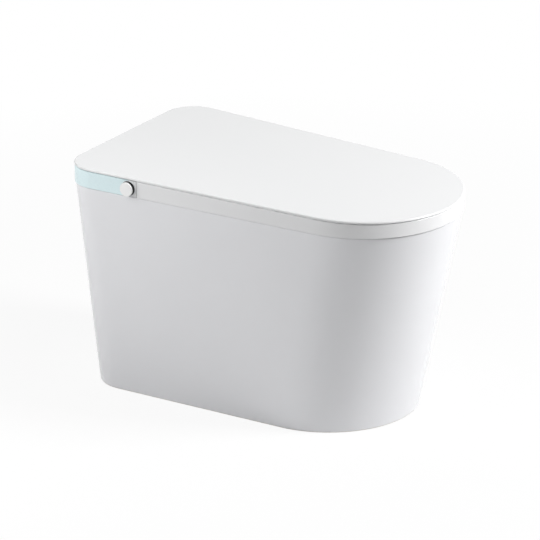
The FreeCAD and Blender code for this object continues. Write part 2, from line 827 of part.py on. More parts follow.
panel_plate = cut(
    "panel_plate", block("panel", TUB_WIDTH, ("tub_rear - tub_wall", "tub_rear"), TUB_LEVELS),
    rod("panel_inlet_hole", "y", "inlet_shank + pin_play", PANEL_BORE, ("inlet_x", INLET_Z)),
    rod("panel_gland_hole", "y", "gland_radius + pin_play", PANEL_BORE, ("-gland_x", GLAND_Z)))
spray_shelf = common(
    "spray_shelf",
    in_spray_frame("shelf_plate", block("shelf_plate_flat", ("-tunnel_half", "tunnel_half"),
                                        ("0", "guide_rear"),
                                        ("-guide_height - shelf_thickness", "-guide_height"))),
    block("shelf_zone", *tub_span("0"), (TUB_FLOOR, FLANGE_TOP)))
fan_stand = rod("fan_stand", "z", "fan_motor_radius + fan_wall",
                (f"{TUB_FLOOR} - tub_wall / 2", f"{DRYER_LOW} - fan_motor_length"), ("dryer_x", "dryer_y"))
node("wash_tub", fuse("tub_moulding", tub_shell, spray_shelf, fan_stand))
node("rear_panel", fuse("panel_moulding", panel_plate, *posts))
node("chassis", cut("base_plate", flange, tub_zone, screw_bores))


def deck_screw(name, x, y, seat):
    return fuse(name,
                rod(f"{name}_head", "z", "screw_head", (seat, f"{seat} + screw_head_height"), (x, y)),
                rod(f"{name}_shank", "z", "deck_screw",
                    (f"{FLANGE_TOP} - deck_screw_length", f"{seat} + screw_head_height / 2"), (x, y)))


HINGE_SCREW_SEAT = f"{FLANGE_TOP} + foot_thickness"
node("screws", pair("screw_set", group(
    "screws_left", bracket_screw,
    *(deck_screw(f"chassis_{y_place}", DECK_SCREW_X, y_place, FLANGE_TOP)
      for y_place in ("deck_screw_front", "deck_screw_rear")),
    *(deck_screw(f"hinge_screw_{index}", x_place, HINGE_SCREW_Y, HINGE_SCREW_SEAT)
      for index, x_place in enumerate(HINGE_SCREWS)))))

# Cover over the tub, below the seat's apron
def cover_span(wall):
    half = f"(tub_half + cover_lap - {wall})"
    return ((f"-{half}", half), (f"tub_front - cover_lap + {wall}", f"tub_rear + cover_lap - {wall}"))


cover_block = block("cover_block", *cover_span("0"), (FLANGE_TOP, f"{FLANGE_TOP} + cover_height"))
cover_shell = rounded("cover_shell", cover_block,
                      lambda edge: 0 if on_level(edge, FLANGE_TOP) else number("cover_round"))
cover_space = block("cover_space", *cover_span("cover_wall"),
                    (f"{FLANGE_TOP} - overcut", f"{FLANGE_TOP} + cover_height - cover_wall"))
node("rear_cover", cut("cover", cover_shell, cover_space))

# Side pods beside the apron, with the pale blue trims round the rear corners
lid_space = in_hinge_frame("lid_space", block("lid_space_flat", (f"-{FAR}", FAR),
                                              ("-lid_length", "hinge_setback + barrel_radius"),
                                              (SKIN_TOP, f"{SKIN_TOP} + seat_height")))
KNOB_AT = ("knob_y", f"{SEAT_LOW} + knob_rise")
KNOB_FACE = ("(lid_width / 2 - corner_radius + corner_radius / cos(side_taper)"
             " + (knob_y - lid_rear + corner_radius) * tan(side_taper) - band_inset)")
POD_LEVELS = (FLANGE_TOP, f"{SEAT_TOP} + overcut")
TRIM_LEVELS = (SEAT_LOW, POD_LEVELS[1])
TRIM_BACK = "band_inset + trim_thickness"
pod_blank = cut(
    "pod_blank", fuse(
        "pod_mass",
        common("pod_front_mass", d_solid("pod_flush", LID_PLAN, "band_inset", *POD_LEVELS),
               block("pod_front_zone", (f"-{FAR}", f"-{POD_INNER}"), ("pod_front", "knob_y"), POD_LEVELS)),
        common("pod_rear_mass", d_solid("pod_backed", LID_PLAN, f"{TRIM_BACK} + trim_play", *POD_LEVELS),
               block("pod_rear_zone", (f"-{FAR}", f"-{POD_INNER}"), ("knob_y", "lid_rear"), POD_LEVELS))),
    common("pod_space", d_solid("pod_inside", LID_PLAN, f"{TRIM_BACK} + trim_play + pod_wall",
                                f"{FLANGE_TOP} - overcut", f"{SEAT_TOP} - pod_wall"),
           block("pod_space_zone", (f"-{FAR}", f"-{POD_INNER} - pod_wall"),
                 ("pod_front + pod_wall", "lid_rear"),
                 (f"{FLANGE_TOP} - overcut", f"{SEAT_TOP} - pod_wall"))),
    lid_space)
node("side_pod_left", mirrored("pod_left", pod_blank))
node("side_pod_right", cut(
    "pod_right", pod_blank,
    rod("bezel_seat", "x", "bezel_radius + bezel_play",
        (f"-{FAR}", f"-({KNOB_FACE} - bezel_depth)"), KNOB_AT),
    rod("knob_hole", "x", "knob_radius + knob_play",
        (f"-{FAR}", f"-({KNOB_FACE} - bezel_depth - knob_well)"), KNOB_AT)))
trim_blank = cut(
    "trim_blank", common(
        "trim_part", cut("trim_ring", d_solid("trim_outside", LID_PLAN, "band_inset", *TRIM_LEVELS),
                         d_solid("trim_inside", LID_PLAN, TRIM_BACK, *TRIM_LEVELS)),
        block("trim_zone", (f"-{FAR}", f"-{TRIM_END}"), ("knob_y", "lid_rear"), TRIM_LEVELS)),
    lid_space)
node("trim_left", mirrored("left_trim", trim_blank))
node("trim_right", cut("right_trim", trim_blank,
                       rod("trim_bite", "x", "bezel_radius + bezel_play", (f"-{FAR}", f"-{POD_INNER}"),
                           KNOB_AT)))

# Hinge line: fixed brackets with a pin through each, and a rotary damper on the inner end of each pin
bracket_arms = []
for place_name, span in (("inner", INNER_KNUCKLE), ("outer", OUTER_KNUCKLE)):
    bracket_arms.append(block(f"{place_name}_arm", span, (f"{HINGE_Y} - arm_reach", HINGE_Y),
                              (FLANGE_TOP, HINGE_Z)))
    bracket_arms.append(rod(f"{place_name}_eye", "x", "barrel_radius", span, (HINGE_Y, HINGE_Z)))
hinge_foot = block("hinge_foot", (INNER_KNUCKLE[0], OUTER_KNUCKLE[1]),
                   (f"{HINGE_Y} - foot_reach", "lid_rear - flange_inset"),
                   (FLANGE_TOP, f"{FLANGE_TOP} + foot_thickness"))
hinge_bracket = cut("hinge_bracket", fuse("hinge_bracket_mass", hinge_foot, *bracket_arms),
                    rod("bracket_pin_bore", "x", "pin_radius + pin_play", ("0", FAR), (HINGE_Y, HINGE_Z)),
                    screw_bores)
node("hinge_brackets", pair("hinge_bracket_pair", hinge_bracket))
node("hinge_pins", pair("hinge_pin_pair", rod("hinge_pin", "x", "pin_radius",
                                              (f"{HINGE_INNER} - pin_tail", OUTER_KNUCKLE[1]),
                                              (HINGE_Y, HINGE_Z))))
node("hinge_dampers", pair("damper_pair", cut(
    "damper", rod("damper_can", "x", "barrel_radius",
                  (f"{HINGE_INNER} - knuckle_gap - damper_length", f"{HINGE_INNER} - knuckle_gap"),
                  (HINGE_Y, HINGE_Z)),
    rod("damper_bore", "x", "pin_radius + pin_play",
        (f"{HINGE_INNER} - pin_tail - pin_play", HINGE_INNER), (HINGE_Y, HINGE_Z)))))

# Lid: one thin moulded plate with a rounded edge and two lugs down to the pins
lid_body = document.addObject("PartDesign::Body", "lid_plate")
lid_sketch = d_outline("lid_outline", HINGE_PLAN, "0", "hinge_drop", body=lid_body)
lid_pad = lid_body.newObject("PartDesign::Pad", "lid_pad")
lid_pad.Profile = lid_sketch
bind(lid_pad, "Length", "lid_thickness")


def lid_fillet(name, base, level, radius):
    """Rounds the plate's edges on one level."""
    document.recompute()
    fillet = lid_body.newObject("PartDesign::Fillet", name)
    fillet.Base = (base, [f"Edge{index}" for index, edge in enumerate(base.Shape.Edges, start=1)
                          if on_level(edge, level)])
    bind(fillet, "Radius", radius)
    return fillet


lid_round = lid_fillet("lid_round", lid_pad, "hinge_drop + lid_thickness", "lid_edge_radius")
lid_fillet("lid_underside", lid_round, "hinge_drop", "lid_under_radius")
lid_lug = cut(
    "lid_lug", fuse("lid_lug_mass",
                    block("lid_lug_web", LID_KNUCKLE, ("-hinge_setback - lid_lug_depth", "-hinge_setback"),
                          ("0", "hinge_drop + lid_thickness / 2")),
                    rod("lid_eye", "x", "barrel_radius", LID_KNUCKLE, AXIS_IN_FRAME)),
    rod("lid_lug_bore", "x", "pin_radius + pin_play", ("0", FAR), AXIS_IN_FRAME))
node("lid", in_hinge_frame("lid_in_place", fuse("lid_whole", lid_body, pair("lid_lugs", lid_lug))))


def ring_spots(name, radius, levels, base_y):
    """Four small round pads: one each side towards the front and towards the rear of the ring."""
    spots = []
    for end, y_place in (("front", f"{LID_FRONT} + bumper_back"), ("rear", "cross_wall - bumper_ahead")):
        spots.append(rod(f"{name}_{end}", "z", radius, levels,
                         ("lid_width / 2 - bumper_inset", f"{y_place} - ({base_y})")))
    return pair(f"{name}_four", group(f"{name}_side", *spots))


node("lid_bumpers", in_hinge_frame("lid_bumper_set", ring_spots(
    "lid_bumper", "pad_radius", (f"{SKIN_TOP} + bumper_play", "hinge_drop"), HINGE_Y)))

# Seat: upper shell with apron and hinge knuckles, closed below the ring by a plate
WING_END = f"pod_front - pod_gap - {HINGE_Y}"
CROSS = f"(cross_wall - {HINGE_Y})"
RING_INSET = "band_inset + seat_wall"
SEAT_FRONT = "-lid_length - hinge_setback"
HOLE_FRONT = "(-hinge_setback - lid_length + band_inset + seat_front_bar)"
HOLE_REAR = f"({CROSS} - seat_back_bar)"
HOLE_HALF = "(lid_width / 2 - band_inset - seat_side_bar)"
RING_SPACE = (SKIN_LOW, f"{SKIN_TOP} - seat_wall")


def seat_hole(name, margin, levels, base_y="0"):
    low, high = levels
    oval = oval_outline(f"{name}_outline", f"{HOLE_FRONT} - ({margin}) + ({base_y})",
                        f"{HOLE_REAR} + ({margin}) + ({base_y})", f"{HOLE_HALF} + ({margin})", low)
    return extrude(name, oval, f"({high}) - ({low})")


apron_corner = block("apron_corner", (APRON_HALF, FAR), (WING_END, "hinge_setback"), (SKIN_LOW, SKIN_TOP))
ring_space = cut(
    "ring_space", common("ring_space_mass", d_solid("ring_space_d", HINGE_PLAN, RING_INSET, *RING_SPACE),
                         block("ring_space_zone", (f"-{FAR}", FAR), (SEAT_FRONT, CROSS), RING_SPACE)),
    seat_hole("ring_space_core", "seat_wall", RING_SPACE))
apron_space = fuse(
    "apron_space",
    common("wing_space", d_solid("wing_space_d", HINGE_PLAN, RING_INSET, *RING_SPACE),
           block("wing_zone", (f"-{FAR}", FAR), (f"{CROSS} + seat_wall", f"{WING_END} - seat_wall"),
                 RING_SPACE)),
    block("apron_zone", (f"-{APRON_HALF} + seat_wall", f"{APRON_HALF} - seat_wall"),
          (f"{CROSS} + seat_wall", "-seat_rear_clear - seat_wall"), RING_SPACE))
seat_blank = cut(
    "seat_blank", d_solid("seat_mass", HINGE_PLAN, "band_inset", SKIN_LOW, SKIN_TOP),
    block("seat_rear_cut", (f"-{FAR}", FAR), ("-seat_rear_clear", "hinge_setback"), (SKIN_LOW, SKIN_TOP)),
    pair("apron_corners", apron_corner), seat_hole("seat_opening", "0", (SKIN_LOW, SKIN_TOP)))


def seat_edge(edge):
    """The hole's upper edge is well rounded, and the outer one just broken."""
    if not on_level(edge, SKIN_TOP):
        return 0
    middle = edge.CenterOfMass
    in_hole = abs(middle.x) < number(HOLE_HALF) + NEAR and number(HOLE_FRONT) < middle.y < number(HOLE_REAR)
    return number("seat_hole_round") if in_hole else number("seat_edge_round")


seat_rounded = rounded("seat_rounded", seat_blank, seat_edge)
seat_eye = cut(
    "seat_eye", fuse("seat_eye_mass",
                     block("seat_eye_web", SEAT_KNUCKLE, ("-seat_rear_clear - seat_wall / 2", "0"),
                           ("-barrel_radius", "barrel_radius")),
                     rod("seat_eye_barrel", "x", "barrel_radius", SEAT_KNUCKLE, AXIS_IN_FRAME)),
    rod("seat_eye_bore", "x", "pin_radius + pin_play", ("0", FAR), AXIS_IN_FRAME))
seat_shell = in_hinge_frame("seat_shell", fuse(
    "seat_shell_mass", cut("seat_hollow", seat_rounded, ring_space, apron_space),
    pair("seat_eyes", seat_eye)))
UNDER = f"{SEAT_LOW} - 2 * hinge_drop - lid_fall - overcut"
APRON_LOW = f"{FLANGE_TOP} + apron_lift"
node("seat_upper", cut(
    "seat_top", seat_shell,
    block("below_seat", (f"-{FAR}", FAR), ("-lid_length", "lid_length"), (UNDER, SEAT_LOW)),
    block("below_apron", (f"-{POD_INNER}", POD_INNER), ("cross_wall", "lid_length"), (UNDER, APRON_LOW)),
    block("below_rear_wall", (f"-{FAR}", FAR), (f"{HINGE_Y} - foot_reach - seat_wall", "lid_length"),
          (UNDER, f"{APRON_LOW} + foot_thickness"))))
PLATE = (SEAT_LOW, f"{SEAT_LOW} + plate_thickness")
PLATE_INSET = f"{RING_INSET} + plate_play"
node("seat_lower", cut(
    "seat_plate", common("seat_plate_mass", d_solid("seat_plate_d", LID_PLAN, PLATE_INSET, *PLATE),
                         block("seat_plate_zone", (f"-{FAR}", FAR),
                               ("-lid_length", "cross_wall - plate_play"), PLATE)),
    seat_hole("seat_plate_hole", "seat_wall + plate_play", PLATE, HINGE_Y)))
FOIL = (f"{SKIN_TOP} - seat_wall - foil_thickness", f"{SKIN_TOP} - seat_wall")
node("seat_heater", in_hinge_frame("seat_foil", cut(
    "seat_foil_flat", common("seat_foil_mass",
                             d_solid("seat_foil_d", HINGE_PLAN, f"{RING_INSET} + foil_margin", *FOIL),
                             block("seat_foil_zone", (f"-{FAR}", FAR),
                                   (SEAT_FRONT, f"{CROSS} - foil_margin"), FOIL)),
    seat_hole("seat_foil_hole", "seat_hole_round + foil_margin", FOIL))))
node("seat_bumpers", ring_spots("seat_bumper", "bumper_radius",
                                ("rim_height + bumper_play", SEAT_LOW), "0"))

# Knob on the right pod: it turns for choice and strength, and presses to stop and flush
RING_FRONT = f"-({KNOB_FACE} + knob_proud - cap_thickness)"
RING_REAR = f"-({KNOB_FACE} - knob_tuck)"
node("knob_bezel", tube("bezel", "x", "bezel_radius", "knob_radius + knob_play",
                        (f"-({KNOB_FACE} + bezel_proud)", f"-({KNOB_FACE} - bezel_depth)"), KNOB_AT))
node("knob_ring", cut("ring", rod("ring_mass", "x", "knob_radius", (RING_FRONT, RING_REAR), KNOB_AT),
                      rod("ring_space", "x", "knob_radius - knob_wall",
                          (f"{RING_FRONT} + knob_web", RING_REAR), KNOB_AT)))
CAP_FRONT = f"-({KNOB_FACE} + knob_proud)"
CAP_RADIUS = "knob_radius - cap_margin"
node("knob_cap", fuse(
    "cap", cone("cap_chamfer", "x", (f"{CAP_RADIUS} - cap_edge", CAP_RADIUS),
                (CAP_FRONT, f"{CAP_FRONT} + cap_edge"), KNOB_AT),
    rod("cap_disc", "x", CAP_RADIUS, (f"{CAP_FRONT} + cap_edge", RING_FRONT), KNOB_AT)))
POD_BACK = f"-({POD_INNER} + pod_wall)"
node("knob_shaft", rod("shaft", "x", "shaft_radius",
                       (f"{RING_FRONT} + knob_web", f"{POD_BACK} - shaft_tail"), KNOB_AT))
node("knob_encoder", cut(
    "encoder", block("encoder_case", (f"{POD_BACK} - encoder_depth", POD_BACK),
                     ("knob_y - encoder_half", "knob_y + encoder_half"),
                     (FLANGE_TOP, f"{KNOB_AT[1]} + encoder_half")),
    rod("encoder_bore", "x", "shaft_radius + shaft_play", (f"-{FAR}", f"{POD_BACK} - overcut / 2"),
        KNOB_AT)))

# Spray nozzles: two wands with racks that slide forward and down into the bowl, each moved by a pinion
PITCH_RADIUS = "(tooth_module * round(pinion_teeth) / 2)"
PITCH_LINE = "(rack_base + dedendum)"
PINION_HEIGHT = f"{PITCH_LINE} + {PITCH_RADIUS}"


def toothed_rack(name):
    """A rack along y on top of a wand, with a tooth gap below the pinion's axis."""
    pitch = math.pi * number("tooth_module")
    base = number("rack_base")
    line = number(PITCH_LINE)
    half_tooth = (pitch / 2 - number("tooth_play")) / 2
    slope = number("tan(flank_angle)")
    tip_half = half_tooth - number("addendum") * slope
    root_half = half_tooth + number("dedendum") * slope
    first = number("rack_start")
    last = number("wand_length")
    centre = number("pinion_place") + pitch / 2
    while centre - root_half - pitch > first:
        centre -= pitch
    outline = [(first, base)]
    while centre + root_half < last:
        outline += [(centre - root_half, base), (centre - tip_half, line + number("addendum")),
                    (centre + tip_half, line + number("addendum")), (centre + root_half, base)]
        centre += pitch
    floor = number("wand_radius - rack_sink")
    outline += [(last, base), (last, floor), (first, floor), (first, base)]
    half_width = number("rack_width") / 2
    wire = Part.makePolygon([VECTOR(-half_width, y, z) for y, z in outline])
    rack = document.addObject("Part::Feature", name)
    rack.Shape = Part.Face(wire).extrude(VECTOR(2 * half_width, 0, 0))
    return place(rack, "nozzle_offset")


def toothed_pinion(name):
    """A pinion about x, with one tooth pointing straight down into the rack."""
    count = round(number("pinion_teeth"))
    radius = number(PITCH_RADIUS)
    half_tooth = (math.pi * number("tooth_module") / 2 - number("tooth_play")) / 2 / radius
    flanks = ((number(f"{PITCH_RADIUS} - dedendum"), half_tooth * number("tooth_root_share")),
              (radius, half_tooth),
              (number(f"{PITCH_RADIUS} + addendum"), half_tooth * number("tooth_tip_share")))
    outline = []
    for tooth in range(count):
        middle = -math.pi / 2 + tooth * 2 * math.pi / count
        for reach, half in flanks:
            outline.append((reach, middle - half))
        for reach, half in reversed(flanks):
            outline.append((reach, middle + half))
    points = [VECTOR(0, reach * math.cos(angle), reach * math.sin(angle)) for reach, angle in outline]
    profile = Part.Face(Part.makePolygon(points + points[:1]))
    wheel = document.addObject("Part::Feature", name)
    wheel.Shape = profile.extrude(VECTOR(number("pinion_width"), 0, 0))
    return place(wheel, "nozzle_offset - pinion_width / 2", "pinion_place", PINION_HEIGHT)


WAND_AT = ("nozzle_offset", "0")
wand = cut(
    "wand", fuse("wand_mass",
                 rod("wand_tube", "y", "wand_radius", ("tip_length", "wand_length"), WAND_AT),
                 toothed_rack("wand_rack")),
    rod("wand_bore", "y", "wand_bore", ("tip_length", "wand_length - tip_length"), WAND_AT))
tip = cut(
    "tip", fuse("tip_mass",
                cone("tip_nose", "y", ("wand_radius - tip_round", "wand_radius"), ("0", "tip_round"),
                     WAND_AT),
                rod("tip_barrel", "y", "wand_radius", ("tip_round", "tip_length"), WAND_AT)),
    rod("tip_bore", "y", "wand_bore", ("tip_round", "tip_length"), WAND_AT),
    rod("tip_hole", "z", "spray_hole", ("0", "wand_radius + overcut"),
        ("nozzle_offset", "(tip_round + tip_length) / 2")))
PINION_AT = ("pinion_place", PINION_HEIGHT)
pinion = fuse("pinion", toothed_pinion("pinion_wheel"),
              rod("pinion_shaft", "x", "motor_shaft", ("nozzle_offset", "guide_half + motor_grip"),
                  PINION_AT))
nozzle_motor = cut("nozzle_motor", rod("nozzle_motor_can", "x", "motor_radius",
                                       ("guide_half", "guide_half + motor_length"), PINION_AT),
                   rod("nozzle_motor_bore", "x", "motor_shaft + shaft_play",
                       ("guide_half", "guide_half + motor_grip + overcut / 2"), PINION_AT))
GUIDE = ("guide_front", "guide_rear")
guide_cheek = block("guide_cheek", ("guide_half - cheek_width", "guide_half"),
                    ("pinion_place - cheek_half", "pinion_place + cheek_half"), ("0", "cheek_top"))
RACK_ROOM = ("nozzle_offset - rack_width / 2 - wand_play", "nozzle_offset + rack_width / 2 + wand_play")
guide_channel = fuse(
    "guide_channel", rod("guide_bore", "y", "wand_radius + wand_play", GUIDE, WAND_AT),
    block("guide_slot", RACK_ROOM, GUIDE, ("0", "cheek_top")),
    rod("guide_shaft_hole", "x", "motor_shaft + shaft_play", ("nozzle_offset", "guide_half + overcut"),
        PINION_AT),
    rod("pinion_room", "x", f"{PITCH_RADIUS} + tooth_module", RACK_ROOM, PINION_AT))
node("nozzle_guide", in_spray_frame("guide", cut(
    "guide_whole", fuse("guide_mass",
                        block("guide_block", ("-guide_half", "guide_half"), GUIDE,
                              ("-guide_height", "guide_height")),
                        pair("guide_cheeks", guide_cheek)),
    pair("guide_channels", guide_channel))))
node("front_nozzle", in_spray_frame("front_wand", wand))
node("front_nozzle_tip", in_spray_frame("front_tip", tip))
node("front_pinion", in_spray_frame("front_wheel", pinion))
node("rear_nozzle", in_spray_frame("rear_wand", mirrored("wand_mirrored", wand)))
node("rear_nozzle_tip", in_spray_frame("rear_tip", mirrored("tip_mirrored", tip)))
node("rear_pinion", in_spray_frame("rear_wheel", mirrored("pinion_mirrored", pinion)))
node("nozzle_motors", in_spray_frame("motors", pair("motor_pair", nozzle_motor)))

# Warm air dryer: fan in a round housing, duct with heater, and a flap where the duct meets the bowl
FAN_AT = ("dryer_x", "dryer_y")
FAN_TOP = f"({DRYER_LOW} + fan_height)"
DUCT_X = ("dryer_x - duct_half", "dryer_x + duct_half")
DUCT_TOP = f"({DUCT_LOW} + duct_height)"
DUCT_SPACE_X = ("dryer_x - duct_half + duct_wall", "dryer_x + duct_half - duct_wall")
DUCT_SPACE_Z = (f"{DUCT_LOW} + duct_wall", f"{DUCT_TOP} - duct_wall")
DUCT_END = "dryer_y - fan_radius"
fan_mouth = block("fan_mouth", DUCT_SPACE_X, (f"{DUCT_END} - overcut", "dryer_y"), DUCT_SPACE_Z)
node("fan_housing", cut(
    "fan_case", rod("fan_outside", "z", "fan_radius", (DRYER_LOW, f"{FAN_TOP} - fan_wall"), FAN_AT),
    rod("fan_space", "z", "fan_radius - fan_wall", (f"{DRYER_LOW} + fan_wall", FAN_TOP), FAN_AT), fan_mouth,
    rod("fan_shaft_hole", "z", "fan_shaft + fan_shaft_clear",
        (f"{DRYER_LOW} - overcut", f"{DRYER_LOW} + fan_wall + overcut"), FAN_AT)))
node("fan_cover", tube("fan_lid", "z", "fan_radius", "fan_inlet", (f"{FAN_TOP} - fan_wall", FAN_TOP),
                       FAN_AT))
IMPELLER_LOW = f"{DRYER_LOW} + fan_wall + impeller_gap"
node("fan_motor", fuse(
    "fan_motor_mass",
    rod("fan_motor_can", "z", "fan_motor_radius", (f"{DRYER_LOW} - fan_motor_length", DRYER_LOW), FAN_AT),
    rod("fan_motor_shaft", "z", "fan_shaft",
        (f"{DRYER_LOW} - overcut", f"{IMPELLER_LOW} + impeller_height / 2"), FAN_AT)))
SHAFT_BORE = "fan_shaft + shaft_play"
impeller = document.addObject("PartDesign::Body", "impeller")
disc_sketch = new_sketch("impeller_disc_outline", impeller)
disc_ring = disc_sketch.addGeometry(Part.Circle(VECTOR(), VECTOR(0, 0, 1), number("impeller_radius")))
disc_bore = disc_sketch.addGeometry(Part.Circle(VECTOR(), VECTOR(0, 0, 1), number(SHAFT_BORE)))
for ring, radius in ((disc_ring, "impeller_radius"), (disc_bore, SHAFT_BORE)):
    disc_sketch.addConstraint(Sketcher.Constraint("Coincident", ring, CENTRE, *ORIGIN_POINT))
    dimension(disc_sketch, "Radius", ring, radius)
disc = impeller.newObject("PartDesign::Pad", "impeller_disc")
disc.Profile = disc_sketch
bind(disc, "Length", "impeller_plate")
hub_sketch = new_sketch("impeller_hub_outline", impeller)
hub_ring = hub_sketch.addGeometry(Part.Circle(VECTOR(), VECTOR(0, 0, 1), number("hub_radius")))
hub_bore = hub_sketch.addGeometry(Part.Circle(VECTOR(), VECTOR(0, 0, 1), number(SHAFT_BORE)))
for ring, radius in ((hub_ring, "hub_radius"), (hub_bore, SHAFT_BORE)):
    hub_sketch.addConstraint(Sketcher.Constraint("Coincident", ring, CENTRE, *ORIGIN_POINT))
    dimension(hub_sketch, "Radius", ring, radius)
hub = impeller.newObject("PartDesign::Pad", "impeller_hub")
hub.Profile = hub_sketch
bind(hub, "Length", "impeller_height / 2")
blade_sketch = new_sketch("blade_outline", impeller)
blade_half = number("blade_thickness") / 2
blade_root = number("impeller_bore")
blade_end = number("impeller_radius")
corners = [VECTOR(blade_root, -blade_half, 0), VECTOR(blade_end, -blade_half, 0),
           VECTOR(blade_end, blade_half, 0), VECTOR(blade_root, blade_half, 0)]
sides = [blade_sketch.addGeometry(Part.LineSegment(corner, following))
         for corner, following in zip(corners, corners[1:] + corners[:1])]
for side, following in zip(sides, sides[1:] + sides[:1]):
    blade_sketch.addConstraint(Sketcher.Constraint("Coincident", side, END, following, START))
for side, kind in zip(sides, ("Horizontal", "Vertical", "Horizontal", "Vertical")):
    blade_sketch.addConstraint(Sketcher.Constraint(kind, side))
dimension(blade_sketch, "DistanceX", *ORIGIN_POINT, sides[0], START, "impeller_bore")
dimension(blade_sketch, "DistanceX", *ORIGIN_POINT, sides[0], END, "impeller_radius - blade_thickness / 2")
dimension(blade_sketch, "DistanceY", *ORIGIN_POINT, sides[0], START, "-blade_thickness / 2")
dimension(blade_sketch, "DistanceY", *ORIGIN_POINT, sides[2], START, "blade_thickness / 2")
blade = impeller.newObject("PartDesign::Pad", "impeller_blade")
blade.Profile = blade_sketch
bind(blade, "Length", "impeller_height")
document.recompute()
blades = impeller.newObject("PartDesign::PolarPattern", "impeller_blades")
blades.Originals = [blade]
blades.Axis = (blade_sketch, ["N_Axis"])
blades.Angle = 360
bind(blades, "Occurrences", "blade_count")
impeller.Tip = blades
node("fan_impeller", place(impeller, "dryer_x", "dryer_y", IMPELLER_LOW))
node("dryer_duct", cut(
    "duct", block("duct_outside", DUCT_X, ("duct_front", DUCT_END), (DUCT_LOW, DUCT_TOP)),
    block("duct_space", DUCT_SPACE_X, ("duct_front - overcut", f"{DUCT_END} + overcut"), DUCT_SPACE_Z)))
HEATER_PITCH = "((2 * (duct_half - duct_wall - duct_play) - heater_fin) / (heater_fins + 1))"
heater_slots = []
for fin in range(round(number("heater_fins")) + 1):
    low = f"{DUCT_SPACE_X[0]} + duct_play + heater_fin + {fin} * {HEATER_PITCH}"
    heater_slots.append(block(f"heater_slot_{fin}", (low, f"{low} + {HEATER_PITCH} - heater_fin"),
                              ("heater_front - overcut", "heater_front + heater_depth + overcut"),
                              (f"{DUCT_SPACE_Z[0]} + heater_rim", f"{DUCT_SPACE_Z[1]} - heater_rim")))
node("dryer_heater", cut(
    "heater", block("heater_frame", (f"{DUCT_SPACE_X[0]} + duct_play", f"{DUCT_SPACE_X[1]} - duct_play"),
                    ("heater_front", "heater_front + heater_depth"),
                    (f"{DUCT_SPACE_Z[0]} + duct_play", f"{DUCT_SPACE_Z[1]} - duct_play")), *heater_slots))
FLAP_X = (f"{DUCT_SPACE_X[0]} + flap_play", f"{DUCT_SPACE_X[1]} - flap_play")
FLAP_AXIS = ("duct_front + flap_thickness + flap_pin", f"{DUCT_SPACE_Z[1]} - flap_pin - flap_play")
FLAP_Y = (f"{FLAP_AXIS[0]} - flap_thickness / 2", f"{FLAP_AXIS[0]} + flap_thickness / 2")
node("dryer_flap", fuse(
    "flap", block("flap_plate", FLAP_X, FLAP_Y, (f"{DUCT_SPACE_Z[0]} + flap_play", FLAP_AXIS[1])),
    rod("flap_barrel", "x", "flap_pin",
        (f"{DUCT_SPACE_X[0]} + duct_play", f"{DUCT_SPACE_X[1]} - duct_play"), FLAP_AXIS)))

# Water: inlet nipple and valve, heater tank, pump, diverter, flush valve and spout
INLET_AT = ("inlet_x", INLET_Z)
node("inlet_nipple", cut(
    "nipple", fuse("nipple_mass",
                   rod("nipple_thread", "y", "inlet_radius", ("tub_rear", "inlet_end"), INLET_AT),
                   rod("nipple_shank", "y", "inlet_shank", ("valve_rear", "tub_rear + tub_wall"), INLET_AT),
                   rod("nipple_collar", "y", "inlet_collar",
                       ("tub_rear - tub_wall - inlet_collar_depth", "tub_rear - tub_wall"), INLET_AT)),
    rod("nipple_bore", "y", "inlet_bore", ("valve_rear - overcut", "inlet_end + overcut"), INLET_AT)))
VALVE_TOP = f"{TUB_FLOOR} + valve_height"
node("inlet_valve", block("inlet_valve_body", ("inlet_x - valve_half", "inlet_x + valve_half"),
                          ("valve_front", "valve_rear"), (TUB_FLOOR, VALVE_TOP)))
node("valve_solenoid", rod("solenoid", "z", "solenoid_radius",
                           (VALVE_TOP, f"{VALVE_TOP} + solenoid_height"),
                           ("inlet_x", "solenoid_y")))
TANK_X = ("-tank_right", "-tank_left")
TANK_Y = ("tank_front", "tank_rear")
TANK_TOP = f"({TUB_FLOOR} + tank_height)"
node("heater_tank", cut(
    "tank", block("tank_outside", TANK_X, TANK_Y, (TUB_FLOOR, TANK_TOP)),
    block("tank_space", ("-tank_right + tank_wall", "-tank_left - tank_wall"),
          ("tank_front + tank_wall", "tank_rear - tank_wall"),
          (f"{TUB_FLOOR} + tank_wall", f"{TANK_TOP} + overcut"))))
node("tank_cap", block("tank_cap_plate", TANK_X, TANK_Y, (TANK_TOP, f"{TANK_TOP} + tank_cap_height")))
TANK_MIDDLE_X = "-(tank_left + tank_right) / 2"
TANK_MIDDLE_Y = "(tank_front + tank_rear) / 2"
ELEMENT_LOW = f"{TUB_FLOOR} + tank_wall + element_clear"
node("heating_element", pipe(
    "element", ((TANK_MIDDLE_X, f"{TANK_MIDDLE_Y} - element_half", TANK_TOP),
                (TANK_MIDDLE_X, f"{TANK_MIDDLE_Y} - element_half", ELEMENT_LOW),
                (TANK_MIDDLE_X, f"{TANK_MIDDLE_Y} + element_half", ELEMENT_LOW),
                (TANK_MIDDLE_X, f"{TANK_MIDDLE_Y} + element_half", TANK_TOP)),
    "element_radius", "hose_bend"))
PUMP_Z = f"{TUB_FLOOR} + pump_radius"
node("water_pump", fuse(
    "pump", rod("pump_can", "y", "pump_radius", ("pump_front", "pump_rear"), ("-pump_x", PUMP_Z)),
    block("pump_base", ("-pump_x - pump_foot", "-pump_x + pump_foot"), ("pump_front", "pump_rear"),
          (TUB_FLOOR, PUMP_Z))))
node("diverter_valve", block("diverter", ("-pump_x - diverter_half", "-pump_x + diverter_half"),
                             ("diverter_front", "diverter_rear"),
                             (TUB_FLOOR, f"{TUB_FLOOR} + diverter_height")))
HOSE_Z = f"{TUB_FLOOR} + hose_level"
